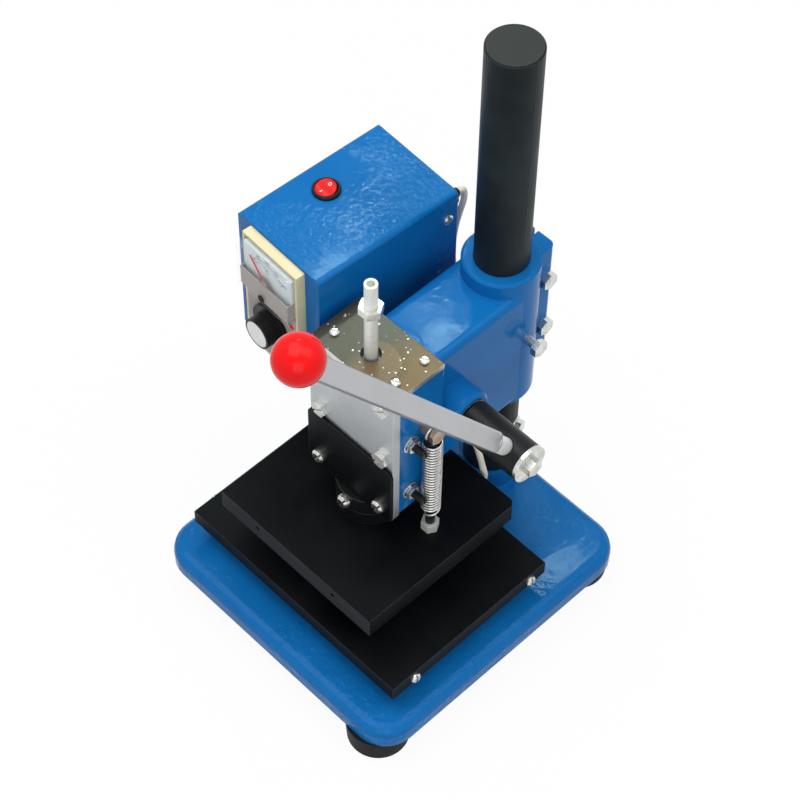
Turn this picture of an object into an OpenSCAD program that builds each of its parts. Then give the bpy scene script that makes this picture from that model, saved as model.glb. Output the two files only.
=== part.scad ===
// Bench-top hot foil stamping machine: a lever turns a pinion, the pinion drives a racked ram down,
// and the ram presses a heated plate on a fixed work plate. A control box hangs on the head's left side.
// Lengths are in millimetres and angles in degrees. +X is the machine's right, +Y its back, +Z up.

/* [Base] */
// Width of the base casting
base_w = 206; // [196:1:240]
// Depth of the base casting
base_d = 213; // [212:1:250]
// Thickness of the base casting's slab
base_t = 16; // [12:1:24]
// Corner radius of the slab
base_corner_r = 22; // [12:1:36]
// Rounding of the slab's upper edge
base_edge_r = 7; // [2:0.5:10]
// Distance from the press axis forward to the slab's front edge
base_front = 85.5; // [80:0.5:100]
// Width of the raised pad under the work plate
pad_w = 140; // [110:1:160]
// Depth of the raised pad
pad_d = 100; // [80:1:120]
// Height of the raised pad
pad_h = 15; // [8:0.5:22]
// Height of a rubber foot
foot_h = 17; // [14:0.5:24]
// Radius of a foot where it meets the slab
foot_r = 20.5; // [14:0.5:22]
// Radius of a foot on the floor
foot_tip_r = 19.5; // [12:0.5:22]
// Distance from the slab's left and right edges to the middle of a foot
foot_inset_x = 24; // [20:0.5:32]
// Distance from the slab's front and back edges to the middle of a foot
foot_inset_y = 18; // [17:0.5:32]

/* [Column] */
// Diameter of the column
column_d = 33.4; // [28:0.1:36]
// Height of the column's top above the slab
column_h = 379; // [300:1:450]
// Distance from the press axis back to the column's axis
column_y = 107.6; // [104:0.2:109]
// Diameter of the boss that the column stands in
column_boss_d = 39.6; // [38:0.2:40]
// Height of that boss
column_boss_h = 15; // [8:0.5:25]
// Diameter of the column's threaded spigot
spigot_d = 20; // [16:1:24]
// Height of the column's stop bolt above the slab
stop_bolt_z = 50; // [35:1:80]
// Turn of the stop bolt about the column, from the right towards the back
stop_bolt_turn = 20; // [0:1:45]

/* [Plates] */
// Width of the work plate
work_plate_w = 179; // [160:1:200]
// Depth of the work plate
work_plate_d = 131; // [122:1:150]
// Thickness of the work plate
work_plate_t = 11; // [8:0.5:16]
// Open height between the plates at rest
press_gap = 28.4; // [28:0.1:40]
// Width of the heating plate
heat_plate_w = 130; // [110:1:132]
// Depth of the heating plate
heat_plate_d = 123; // [100:1:128]
// Thickness of the heating plate
heat_plate_t = 14.8; // [12:0.1:20]
// Diameter of the insulator and of the collar above it
collar_d = 43; // [36:0.5:50]
// Height of the insulator
insulator_h = 10.3; // [6:0.1:14]
// Height of the collar
collar_h = 12.5; // [11:0.1:18]

/* [Head] */
// Width of the slide block
block_w = 67; // [64:0.5:68]
// Height of the slide block
block_h = 110.5; // [108:0.5:124]
// Distance from the press axis forward to the slide block's front face
block_front = 8; // [7:0.1:9]
// Width of the arm
arm_w = 47.2; // [46:0.2:48]
// Drop of the arm's top below the slide block's top
arm_drop = 8.5; // [6:0.5:16]
// Rise of the arm's underside over the slide block's underside
arm_rise = 0; // [0:0.5:8]
// Diameter of the split sleeve
sleeve_d = 48; // [44:0.5:49]
// Rise of the split sleeve's top over the arm's top
sleeve_over = 12; // [6:0.5:20]
// Distance from the column's axis back to the end of the clamp lugs
lug_reach = 29.4; // [28.5:0.1:32]
// Width of the two clamp lugs together
lug_w = 31; // [26:0.5:34]
// Rise of the clamp lugs' underside over the arm's underside
lug_rise = 21; // [0:0.5:30]
// Thickness of the top plate
top_plate_t = 4; // [3:0.5:6]
// Distance from the press axis back to the top plate's back edge
top_plate_back = 27; // [25:0.5:28]
// Thickness of the front plate
front_plate_t = 5.6; // [4:0.1:8]
// Width of the top plate
top_plate_w = 68; // [66:0.5:72]
// Width of the front plate
front_plate_w = 69; // [66:0.5:72]
// Thickness of the guard plate
guard_t = 2; // [1.5:0.5:3]
// Height of the guard plate
guard_h = 54; // [40:1:54]

/* [Ram and drive] */
// Width of the ram
ram_w = 36; // [32:0.5:37]
// Depth of the ram from its front to the roots of its rack
ram_d = 28.7; // [26:0.1:29]
// Travel of the ram
press_travel = 27.5; // [20:0.5:27.9]
// Module of the rack and pinion
gear_module = 1.5; // [1.25:0.05:1.6]
// Number of the pinion's teeth
pinion_teeth = 29; // [26:1:30]
// Face width of the pinion and the rack
pinion_w = 18; // [12:0.5:20]
// Height of the pinion's axis above the slide block's underside
pinion_rise = 54.5; // [45:0.5:60]
// Diameter of the pinion's shaft
shaft_d = 18; // [14:0.5:20]
// Diameter of the pinion boss on the head
boss_d = 32; // [30:0.5:36]
// Distance from the press plane to the end of the pinion boss
boss_end = 40; // [36:0.5:44]
// Thickness of the gib strip
gib_t = 4; // [3:0.25:4.5]
// Diameter of the stop rod
rod_d = 8; // [6:0.5:10]
// Height of the stop rod's end above the top plate
rod_rise = 61.5; // [58:0.5:80]
// Height of the stop nut's underside above the top plate
stop_nut_rise = 37.4; // [36.6:0.2:44]

/* [Lever] */
// Distance from the pinion's axis to the middle of the ball
lever_len = 275.3; // [200:0.1:320]
// Angle of the lever above the horizontal at rest
lever_angle = 54.8; // [45:0.2:65]
// Distance from the press plane to the lever
lever_x = 72; // [71:0.5:76]
// Width of the lever bar
lever_w = 12.4; // [11.5:0.1:16]
// Thickness of the lever bar
lever_t = 10; // [9:0.5:13]
// Turn of the flat bar about its own length
lever_twist = 23; // [0:1:30]
// Diameter of the lever's turned end
lever_end_d = 11; // [8:0.5:11]
// Diameter of the ball
ball_d = 27.4; // [24:0.2:40]
// Diameter of the lever hub
hub_d = 24.4; // [22:0.2:30]

/* [Return spring] */
// Wire diameter
wire_d = 1.7; // [1.4:0.1:1.8]
// Mean diameter of the coils
coil_d = 10.8; // [10.2:0.1:11.4]
// Number of coils
coil_turns = 25; // [18:1:25]
// Distance from the press plane to the spring's axis
spring_x = 41; // [40.6:0.1:43]
// Distance from the press axis back to the spring's axis
spring_y = 12; // [11:0.1:15]

/* [Control box] */
// Width of the control box
box_w = 72; // [64:1:90]
// Depth of the control box
box_d = 106; // [90:1:120]
// Height of the control box
box_h = 100; // [99:0.5:120]
// Sheet thickness of the control box
sheet_t = 1.2; // [0.8:0.1:2]
// Distance from the press plane to the control box's nearer wall
box_x = 42; // [40:0.5:60]
// Distance from the press axis back to the control box's front
box_y = 1.6; // [0:0.2:6]
// Height of the control box's underside above the slide block's underside
box_rise = 39.7; // [30:0.1:50]
// Turn of the control box about its front corner
box_yaw = -3; // [-5:0.5:0]
// Width of the controller's bezel
bezel_w = 48; // [44:0.5:54]
// Height of the controller's bezel
bezel_h = 96; // [92:0.5:97]
// Depth of the controller's bezel
bezel_t = 6.5; // [5:0.5:9]
// Depth of the controller's case behind the bezel
case_depth = 38; // [30:1:38]
// Height of the meter window
window_h = 36.5; // [32:0.5:40]
// Distance that the meter window stands in front of the bezel
window_t = 6.2; // [1.6:0.2:7]
// Diameter of the temperature knob
knob_d = 20.6; // [16:0.2:24]
// Length of the temperature knob
knob_len = 12; // [9:0.5:16]
// Diameter of the switch's rim
switch_rim_d = 17.4; // [16:0.2:22]
// Diameter of the rocker
rocker_d = 12.8; // [10:0.2:13]
// Diameter of the heater lead
lead_d = 4; // [3.4:0.1:4.4]

/* [Fits] */
// Play round a screw or a seated piece
seat_fit = 0.03; // [0.02:0.01:0.1]
// Radial play of a shaft or slide
run_fit = 0.05; // [0.02:0.01:0.09]
// Gap between pieces that pass each other
pass_gap = 0.3; // [0.2:0.1:0.6]

/* [Hidden] */
$fn = 48;
eps = 0.01;

// Levels, from the floor up
base_top = foot_h + base_t;
work_z = base_top + pad_h;
work_top = work_z + work_plate_t;
heat_z = work_top + press_gap;
heat_top = heat_z + heat_plate_t;
collar_z = heat_top + insulator_h;
collar_top = collar_z + collar_h;
ram_z = collar_top;
ram_head_room = 2;
block_clear = 2.5;
block_z = collar_top + block_clear;
block_top = block_z + block_h;
ram_len = block_top - ram_head_room - ram_z;
top_plate_top = block_top + top_plate_t;
arm_z = block_z + arm_rise;
arm_top = block_top - arm_drop;
arm_h = arm_top - arm_z;
sleeve_top = arm_top + sleeve_over;
sleeve_h = sleeve_top - arm_z;
pinion_z = block_z + pinion_rise;
column_top = base_top + column_h;
column_seat_z = base_top - 8;

// Plan places
base_back = base_d - base_front;
base_mid_y = (base_back - base_front) / 2;
lug_back = column_y + lug_reach;
front_plate_y = -block_front - front_plate_t;
guard_y = front_plate_y - guard_t;
ram_front = -block_front + run_fit;
ram_back = ram_front + ram_d;
pitch_r = gear_module * pinion_teeth / 2;
addendum = gear_module;
dedendum = 1.25 * gear_module;
pitch_y = ram_back + dedendum;
pinion_y = pitch_y + pitch_r;
rack_slot_y = pitch_y + addendum + 0.7;
block_wall = 2.2;
block_back = rack_slot_y + block_wall;
gib_x = ram_w / 2 + run_fit;
channel_right = gib_x + gib_t + run_fit;
channel_left = -ram_w / 2 - run_fit;
rod_y = 2.3;
cavity_r = pitch_r + addendum + 1.5;
cavity_w = pinion_w + 2;

// Fastener sizes: shank radius, width across flats, head height
m6_r = 3;
m6_flats = 10;
m6_head_h = 4.5;
m5_r = 2.5;
m5_flats = 8;
m5_nut_h = 4;
m4_r = 2;
pan_r = 3.6;
pan_h = 2.6;
slot_w = 1.2;

// Fastener places
foot_x = base_w / 2 - foot_inset_x;
foot_front = -base_front + foot_inset_y;
foot_back = base_back - foot_inset_y;
left_foot_setback = 12;
foot_spots = [[-foot_x, foot_front + left_foot_setback], [-foot_x, foot_back], [foot_x, foot_front],
    [foot_x, foot_back]];
work_bolt_spots = [for (x = [-1, 1], y = [-1, 1]) [x * (pad_w / 2 - 15), y * (pad_d / 2 - 15)]];
side_screw_y = work_plate_d / 2 - 15.8;
side_screw_mid = 2.2;
top_screw_x = top_plate_w / 2 - 9;
top_screw_spots = [for (x = [-1, 1], y = [-2.5, top_plate_back - 7]) [x * top_screw_x, y]];
top_screw_len = 5;
top_screw_r = 1.5;
top_head_r = 2.8;
top_head_h = 2.2;
front_bolt_x = front_plate_w / 2 - 9;
front_bolt_z = [block_top - 0.081 * block_h, block_top - 0.511 * block_h];
front_head_h = 3;
front_bolt_len = 6;
guard_z = block_z - 1.5;
guard_screw_z = guard_z + 10;
gib_y = 1.5;
gib_screw_z = [block_z + 0.145 * block_h, block_z + 0.561 * block_h];
gib_screw_end = block_w / 2 + 12.5;
clamp_y = lug_back - 6.6;
clamp_z = [arm_z + 0.389 * sleeve_h, arm_z + 0.768 * sleeve_h];
set_bolt_z = arm_z + 0.567 * arm_h;
set_bolt_r = m6_r;
set_bolt_head_x = arm_w / 2 + 8;
set_bolt_tip = column_d / 2 + pass_gap;
stud_z = block_z + 0.638 * block_h;
stud_r = coil_d / 2 - wire_d / 2 - pass_gap;
box_overlap = box_y + box_d - block_back;
spacer_spots = [for (share = [0.42, 0.745]) [block_back + share * box_overlap, arm_z + 0.635 * arm_h]];
spacer_r = 6;
box_bolt_depth = (arm_w - column_d) / 2 - 0.8;
hole_x = 33;
hole_depth = 12;
hole_rise = 8.6;
rod_depth = 20;
collar_spigot_r = 6.5;
collar_spigot_h = 12;
plate_stud_r = 8;
bush_wall = 2.5;
hole_r = 1.65;
cartridge_x = 24;
lead_x = 35.8;
lead_depth = 8;
cartridge_r = 4.75;
cartridge_len = 100;
heater_z = heat_z + heat_plate_t / 2;

// Lever and hub along X
hub_end = lever_x + 13.5;
hub_start = boss_end + 0.8;
shaft_end = hub_start + 16;
shaft_head_t = 3;
hub_washer_t = 2.5;
ball_y = pinion_y - lever_len * cos(lever_angle);

// Control box, in its own frame: X from -box_w to 0, Y from 0 at the front, Z from 0
box_z = block_z + box_rise;
bezel_x = -box_w / 2;
bezel_z = box_h / 2;
case_w = bezel_w - 4;
case_h = bezel_h - 4;
frame_w = 1.6;
face_recess = 4;
window_w = bezel_w - 2 * frame_w;
window_z = bezel_z + bezel_h / 2 - 3 - window_h / 2;
window_wall = 1.2;
panel_t = 2.5;
dial_t = 0.8;
dial_y = -bezel_t + face_recess;
dial_inset = window_wall + seat_fit;
dial_face = -bezel_t - window_t + window_wall + 3.3;
needle_z = window_z - window_h / 2 + 13.7;
needle_y = dial_face - 1.6;
needle_len = 21;
needle_rest = 40;
knob_z = 35.5;
spindle_r = 3;
skirt_t = 2.5;
cap_t = 0.6;
switch_spot = [-box_w + 21, 49];
switch_depth = 18;
rocker_tilt = 8;
box_screw_y = box_d - 8;
box_screw_z = [18, 82];
tab_w = 14;
gland_r = 4.2;
fold_r = 3;
gland_len = 6;
lead_exit = [-7, 90];
mains_exit = [-54, 16];

// The part stands with the middle of its box at the origin
left_edge = -box_x - box_w * cos(box_yaw);
right_edge = base_w / 2;
front_edge = ball_y - ball_d / 2;
back_edge = max(base_back, lug_back);
origin_x = (left_edge + right_edge) / 2;
origin_y = (front_edge + back_edge) / 2;

// The heater lead's route: out of the box's back, down, under the arm and into the heating plate's back
lead_start = [-box_x + lead_exit[0] * cos(box_yaw) - box_d * sin(box_yaw),
    box_y + lead_exit[0] * sin(box_yaw) + box_d * cos(box_yaw), box_z + lead_exit[1]];
lead_under = [-arm_w / 2, column_y, arm_z];
lead_end = [lead_x, heat_plate_d / 2, heater_z];
behind_box = [[-0.1, -2, 0], [0, 2, 0], [0.2, 6.5, 0], [0.4, 10, -1], [0.6, 11.5, -5], [0.4, 11.2, -12],
    [-1, 9.5, -23], [-2.5, 8, -37], [-3, 7, -57], [0.5, 7, -79]];
below_arm = [[-9.5, 2.5, 30], [-6, -10.5, 13.5], [-1.5, -19.5, -2], [9.5, -27.5, -7]];
to_plate = [[-43.1, 13.5, 24], [-30.1, 9.5, 24.5], [-17.8, 6.5, 24.5], [-10.6, 5.3, 22.2], [-6.6, 4.7, 16.2],
    [-3.9, 4.5, 9.2], [-1.6, 4.3, 3.6], [-0.8, 3.9, 1.6], [-0.2, 2.3, 0.2], [0, -0.5, 0], [0, -6.5, 0]];
lead_route = concat([for (q = behind_box) lead_start + q], [for (q = below_arm) lead_under + q],
    [for (q = to_plate) lead_end + q]);

// Levels and radii of the return spring
post_groove_r = 2.2;
post_nut_h = 6.5;
spring_ring_z = heat_top + post_nut_h + 9.3;
spring_ring_r = post_groove_r + wire_d / 2 + pass_gap;
ring_share = 0.55;
rise_share = 0.5;
rise_h = 6;
coil_z0 = spring_ring_z + rise_h;
coil_pitch = 2.6;
coil_z1 = coil_z0 + coil_turns * coil_pitch;
rings_a_curl = 8;
post_head_r = coil_d / 2 * cos(180 / rings_a_curl) - wire_d / 2 - pass_gap;
lift_steps = [[0.05, 0.8], [0.1, 2.4], [0.15, 4.6]];

// Shared shapes

module placed() {
    translate([-origin_x, -origin_y, 0]) children();
}

module round_rect(w, d, r) {
    square([w - 2 * r, d], center = true);
    square([w, d - 2 * r], center = true);
    for (x = [-1, 1], y = [-1, 1])
        translate([x * (w / 2 - r), y * (d / 2 - r)]) circle(r);
}

// A cylinder along +X, +Y or -Y from a point
module along_x(p, len, r) {
    translate(p) rotate([0, 90, 0]) cylinder(h = len, r = r);
}

module along_y(p, len, r) {
    translate(p) rotate([-90, 0, 0]) cylinder(h = len, r = r);
}

// A box between two corners
module span(a, b) {
    translate(a) cube(b - a);
}

function corner_r(flats) = flats / 2 / cos(30);

// Hexagon prism standing on Z, with its flats across Y
module hex(flats, h) {
    cylinder(h = h, r = corner_r(flats), $fn = 6);
}

// Hexagon bolt: its head stands on the plane Z = 0 and its shank hangs below
module hex_bolt(flats, head_h, r, len) {
    hex(flats, head_h);
    translate([0, 0, -len]) cylinder(h = len + eps, r = r);
}

// Slotted screw with a low round head on the plane Z = 0
module pan_screw(r, len, head_r = pan_r, head_h = pan_h) {
    difference() {
        union() {
            cylinder(h = head_h * 0.6, r = head_r);
            translate([0, 0, head_h * 0.6 - eps])
                cylinder(h = head_h * 0.4, r1 = head_r, r2 = head_r * 0.72);
        }
        translate([-head_r - 1, -slot_w / 2, head_h * 0.5]) cube([2 * head_r + 2, slot_w, head_h]);
    }
    translate([0, 0, -len]) cylinder(h = len + eps, r = r);
}

// Turns +Z to face +X, -X or -Y
module face_right() {
    rotate([0, 90, 0]) children();
}

module face_left() {
    rotate([0, -90, 0]) children();
}

module face_front() {
    rotate([90, 0, 0]) children();
}

// The control box's frame
module in_box() {
    translate([-box_x, box_y, box_z]) rotate([0, 0, box_yaw]) children();
}

// The lever's frame: its origin lies on the pinion's axis and +Z runs out to the ball
module in_lever() {
    translate([lever_x, pinion_y, pinion_z]) rotate([90 - lever_angle, 0, 0]) children();
}

// Round tubes along a path

function unit(v) = v / norm(v);

function tangent(p, i) = unit(p[min(i + 1, len(p) - 1)] - p[max(i - 1, 0)]);

function square_to(n, t) = unit(n - (n * t) * t);

function carried(p, first) = [for (i = 0, n = square_to(first, tangent(p, 0)); i < len(p);
    i = i + 1, n = i < len(p) ? square_to(n, tangent(p, i)) : n) n];

module tube(p, d, sides, first) {
    normals = carried(p, first);
    last = len(p) - 1;
    points = [for (i = [0 : last], k = [0 : sides - 1])
        let (t = tangent(p, i), n = normals[i], a = 360 * k / sides)
        p[i] + d / 2 * (n * cos(a) + cross(t, n) * sin(a))];
    side = [for (i = [0 : last - 1], k = [0 : sides - 1])
        let (a = i * sides + k, b = i * sides + (k + 1) % sides) each
        [[a, a + sides, b], [b, a + sides, b + sides]]];
    ends = [for (k = [1 : sides - 2]) each
        [[0, k, k + 1], [last * sides, last * sides + k + 1, last * sides + k]]];
    polyhedron(points = points, faces = concat(side, ends));
}

// A smooth curve through the route's points, with one point added between each pair
function eased(p, i, t) = let (a = p[max(i - 1, 0)], b = p[i], c = p[i + 1], d = p[min(i + 2, len(p) - 1)])
    0.5 * (2 * b + t * (c - a) + t * t * (2 * a - 5 * b + 4 * c - d) + t * t * t * (3 * b - a - 3 * c + d));

function smooth(p) = concat([for (i = [0 : len(p) - 2]) each [p[i], eased(p, i, 0.5)]], [p[len(p) - 1]]);

// The return spring's path: a part ring in the post's groove, a rising half turn, the coils, and a hook
function coil_angle(turn) = 90 + 360 * (turn - coil_turns - lift_steps[len(lift_steps) - 1][0]);

function round_axis(turn, r, z) = [r * cos(coil_angle(turn)), r * sin(coil_angle(turn)), z];

spring_ring = [for (i = [0 : 4])
    round_axis(-rise_share - ring_share * (1 - i / 4.5), spring_ring_r, spring_ring_z)];
spring_rise = [for (i = [0 : 3]) let (s = i / 4)
    round_axis(-rise_share * (1 - s), spring_ring_r + (coil_d / 2 - spring_ring_r) * min(1, 1.5 * s),
        spring_ring_z + rise_h * s)];
spring_coils = [for (i = [0 : coil_turns * rings_a_curl])
    round_axis(i / rings_a_curl, coil_d / 2, coil_z0 + coil_pitch * i / rings_a_curl)];
spring_lift = [for (s = lift_steps) round_axis(coil_turns + s[0], coil_d / 2, coil_z1 + s[1])];
spring_hook = [for (a = [0 : 22.5 : 202.5]) [0, coil_d / 2 * cos(a), stud_z + coil_d / 2 * sin(a)]];
spring_path = [for (q = concat(spring_ring, spring_rise, spring_coils, spring_lift, spring_hook))
    [spring_x + q[0], spring_y + q[1], q[2]]];
spring_least_gap = min([for (i = [0 : len(spring_path) - 1], j = [i + 5 : 1 : len(spring_path) - 1])
    norm(spring_path[i] - spring_path[j])]) - wire_d;
echo(spring_least_gap = spring_least_gap);

// Base and column

module slab() {
    low_h = base_t - base_edge_r;
    translate([0, base_mid_y, foot_h])
    hull()
    for (x = [-1, 1], y = [-1, 1])
        translate([x * (base_w / 2 - base_corner_r), y * (base_d / 2 - base_corner_r), 0]) {
            cylinder(h = low_h, r = base_corner_r, $fn = 32);
            for (a = [30, 60, 90])
                translate([0, 0, low_h + base_edge_r * sin(a) - eps])
                    cylinder(h = eps, r = base_corner_r - base_edge_r * (1 - cos(a)), $fn = 32);
        }
}

module base_casting() {
    placed() color("royalblue")
    difference() {
        union() {
            slab();
            translate([0, 0, base_top - 1]) linear_extrude(pad_h + 1) round_rect(pad_w, pad_d, 8);
            translate([0, column_y, foot_h + 1]) cylinder(h = base_t - 1 + column_boss_h, d = column_boss_d);
        }
        translate([0, column_y, column_seat_z]) cylinder(h = column_h, r = column_d / 2 + seat_fit);
        translate([0, column_y, 0]) cylinder(h = base_top, r = spigot_d / 2 + seat_fit);
        for (p = work_bolt_spots) translate([p[0], p[1], 0]) {
            cylinder(h = work_top, r = m6_r + seat_fit);
            cylinder(h = foot_h + 7, r = m6_flats / 2 + 1);
        }
        for (p = foot_spots) translate([p[0], p[1], 0])
            cylinder(h = foot_h + 10 + seat_fit, r = m6_r + seat_fit);
    }
}

module rubber_feet() {
    placed() color("black")
    for (p = foot_spots) translate([p[0], p[1], 0])
        difference() {
            cylinder(h = foot_h, r1 = foot_tip_r, r2 = foot_r);
            translate([0, 0, -1]) cylinder(h = foot_h + 2, r = m6_r + seat_fit);
            translate([0, 0, -1]) cylinder(h = 9, r = 7);
        }
}

module foot_screws() {
    placed() color("silver")
    for (p = foot_spots) translate([p[0], p[1], 8])
        mirror([0, 0, 1]) pan_screw(m6_r, foot_h + 2, 6, 4);
}

module column() {
    placed() color("#26292b")
    translate([0, column_y, 0]) {
        difference() {
            translate([0, 0, column_seat_z]) cylinder(h = column_top - column_seat_z - 1, d = column_d);
            rotate([0, 0, stop_bolt_turn]) {
                along_x([column_d / 2 - 12 - seat_fit, 0, base_top + stop_bolt_z], column_d, m6_r + seat_fit);
                along_x([column_d / 2 - 2, 0, base_top + stop_bolt_z], column_d, m6_flats * 0.75 + 0.5);
            }
        }
        translate([0, 0, column_top - 1 - eps]) cylinder(h = 1, d1 = column_d, d2 = column_d - 2);
        translate([0, 0, 5]) cylinder(h = column_seat_z - 5 + eps, d = spigot_d);
    }
}

module column_nut() {
    nut_h = 9;
    placed() color("silver")
    translate([0, column_y, foot_h - nut_h])
    difference() {
        hex(spigot_d * 1.5, nut_h);
        translate([0, 0, -1]) cylinder(h = nut_h + 2, r = spigot_d / 2 + seat_fit);
    }
}

module column_stop_bolt() {
    washer_t = 1.6;
    placed() color("silver")
    translate([0, column_y, base_top + stop_bolt_z]) rotate([0, 0, stop_bolt_turn])
    translate([column_d / 2 - 2, 0, 0]) face_right() {
        cylinder(h = washer_t + eps, r = m6_flats * 0.75);
        translate([0, 0, washer_t]) hex_bolt(m6_flats, m6_head_h, m6_r, washer_t + 10);
    }
}

// Work plate

module work_plate() {
    placed() color("#202325")
    difference() {
        translate([-work_plate_w / 2, -work_plate_d / 2, work_z])
            cube([work_plate_w, work_plate_d, work_plate_t]);
        for (p = work_bolt_spots)
            translate([p[0], p[1], work_z - 1]) cylinder(h = work_plate_t - 2, r = m6_r + seat_fit);
        for (x = [-1, 1], y = [-1, 1])
            translate([x * work_plate_w / 2, side_screw_mid + y * side_screw_y, work_z + work_plate_t / 2])
                rotate([0, 90, 0]) cylinder(h = 24, r = m4_r + seat_fit, center = true);
    }
}

module work_plate_bolts() {
    placed() color("silver")
    for (p = work_bolt_spots) translate([p[0], p[1], foot_h + 7])
        mirror([0, 0, 1]) hex_bolt(m6_flats, m6_head_h, m6_r, base_t + pad_h + work_plate_t - 7 - 3.5);
}

module plate_side_screws() {
    placed() color("silver")
    for (y = [-1, 1]) {
        translate([work_plate_w / 2, side_screw_mid + y * side_screw_y, work_z + work_plate_t / 2]) face_right()
            pan_screw(m4_r, 11);
        translate([-work_plate_w / 2, side_screw_mid + y * side_screw_y, work_z + work_plate_t / 2]) face_left()
            pan_screw(m4_r, 11);
    }
}

// Head casting and its plates

module head_body() {
    span([-block_w / 2, -block_front, block_z], [block_w / 2, block_back, block_top]);
    translate([0, block_back - 5, arm_z + arm_h / 2]) rotate([-90, 0, 0])
        linear_extrude(column_y - block_back + 5) round_rect(arm_w, arm_h, 5);
    translate([0, column_y, arm_z]) cylinder(h = sleeve_h - 1.5, d = sleeve_d);
    translate([0, column_y, sleeve_top - 1.5 - eps]) cylinder(h = 1.5, d1 = sleeve_d, d2 = sleeve_d - 3);
    translate([0, lug_back - 12, arm_z + lug_rise])
        linear_extrude(sleeve_h - lug_rise - 0.6) round_rect(lug_w, 24, 4);
    along_x([0, pinion_y, pinion_z], boss_end - 2, boss_d / 2);
    translate([boss_end - 2 - eps, pinion_y, pinion_z]) face_right()
        cylinder(h = 2, d1 = boss_d, d2 = boss_d - 4);
}

module head_holes() {
    reach = 200;
    for (p = top_screw_spots)
        translate([p[0], p[1], block_top - top_screw_len - seat_fit])
            cylinder(h = reach, r = top_screw_r + seat_fit);
    for (x = [-front_bolt_x, front_bolt_x], z = front_bolt_z)
        along_y([x, -block_front - 1, z], front_bolt_len + 1 + seat_fit, m6_r + seat_fit);
    for (z = gib_screw_z) along_x([channel_right - 1, gib_y, z], reach, m5_r + seat_fit);
    along_x([channel_right + 2, spring_y, stud_z], reach, m6_r + seat_fit);
    for (z = clamp_z) {
        along_x([-lug_w, clamp_y, z], 2 * lug_w, m6_r + seat_fit);
        along_x([lug_w / 2, clamp_y, z], reach, corner_r(m6_flats) + 0.6);
    }
    along_x([0, column_y, set_bolt_z], reach, set_bolt_r + seat_fit);
    for (p = spacer_spots)
        along_x([-arm_w / 2 - 1, p[0], p[1]], box_bolt_depth + 1 + seat_fit, m6_r + seat_fit);
}

module head_casting() {
    tall = block_h + 40;
    placed() color("royalblue")
    difference() {
        head_body();
        span([channel_left, -block_front - 1, block_z - 1],
            [channel_right, ram_back + run_fit, block_z + tall]);
        span([-cavity_w / 2, 0, block_z - 1], [cavity_w / 2, rack_slot_y, block_z + tall]);
        along_x([-cavity_w / 2, pinion_y, pinion_z], cavity_w, cavity_r);
        along_x([-block_w, pinion_y, pinion_z], 3 * block_w, shaft_d / 2 + bush_wall + seat_fit);
        translate([0, column_y, arm_z - 1]) cylinder(h = tall, r = column_d / 2 + run_fit);
        span([-1.5, column_y, arm_z - 1], [1.5, lug_back + 1, arm_z + tall]);
        head_holes();
    }
}

module clamp_bolts() {
    placed() color("silver")
    for (z = clamp_z) translate([lug_w / 2, clamp_y, z]) face_right() {
        hex_bolt(m6_flats, m6_head_h, m6_r, lug_w);
    }
}

module set_bolt() {
    placed() color("silver")
    translate([set_bolt_head_x, column_y, set_bolt_z]) face_right()
        hex_bolt(m6_flats, m6_head_h, set_bolt_r, set_bolt_head_x - set_bolt_tip);
}

module top_plate() {
    placed() color("#b9b4a6")
    difference() {
        span([-top_plate_w / 2, front_plate_y, block_top], [top_plate_w / 2, top_plate_back, top_plate_top]);
        translate([0, rod_y, block_top - 1]) cylinder(h = top_plate_t + 2, r = rod_d / 2 + 2);
        for (p = top_screw_spots)
            translate([p[0], p[1], block_top - 1]) cylinder(h = top_plate_t + 2, r = top_screw_r + seat_fit);
    }
}

module top_plate_screws() {
    placed() color("silver")
    for (p = top_screw_spots)
        translate([p[0], p[1], top_plate_top]) rotate([0, 0, 30])
            pan_screw(top_screw_r, top_plate_t + top_screw_len, top_head_r, top_head_h);
}

module front_plate() {
    placed() color("#c9cbcc")
    difference() {
        span([-front_plate_w / 2, front_plate_y, block_z], [front_plate_w / 2, -block_front, block_top]);
        for (x = [-front_bolt_x, front_bolt_x]) {
            for (z = front_bolt_z) along_y([x, guard_y, z], front_plate_t + 9, m6_r + seat_fit);
            along_y([x, guard_y, guard_screw_z], front_plate_t + 1, m5_r + seat_fit);
        }
    }
}

module front_plate_bolts() {
    placed() color("silver")
    for (x = [-front_bolt_x, front_bolt_x], z = front_bolt_z)
        translate([x, front_plate_y, z]) face_front()
            difference() {
                hex_bolt(m6_flats, front_head_h, m6_r, front_plate_t + front_bolt_len);
                rotate([0, 0, 40]) translate([-8, -slot_w / 2, front_head_h - 1.2]) cube([16, slot_w, 4]);
            }
}

module guard_plate() {
    top = min(guard_z + guard_h, front_bolt_z[1] - corner_r(m6_flats) - 0.2);
    placed() color("#1c1e1f")
    difference() {
        translate([0, front_plate_y, (guard_z + top) / 2]) face_front()
            linear_extrude(guard_t) round_rect(front_plate_w + 1.5, top - guard_z, 5);
        for (x = [-front_bolt_x, front_bolt_x])
            along_y([x, guard_y - 1, guard_screw_z], guard_t + 2, m5_r + seat_fit);
    }
}

module guard_screws() {
    placed() color("silver")
    for (x = [-front_bolt_x, front_bolt_x])
        translate([x, guard_y, guard_screw_z]) face_front() rotate([0, 0, 55])
            pan_screw(m5_r, guard_t + front_plate_t - 1, 4.6, 3.4);
}

module gib_strip() {
    placed() color("#8a7a52")
    span([gib_x, -block_front + run_fit, block_z + 1], [gib_x + gib_t, ram_back, block_top - 1]);
}

module gib_screws() {
    start = gib_x + gib_t + seat_fit;
    placed() color("#202325")
    for (z = gib_screw_z)
        difference() {
            along_x([start, gib_y, z], gib_screw_end - start, m5_r);
            span([gib_screw_end - 1.5, gib_y - slot_w / 2, z - 5],
                [gib_screw_end + 1, gib_y + slot_w / 2, z + 5]);
        }
}

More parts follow.
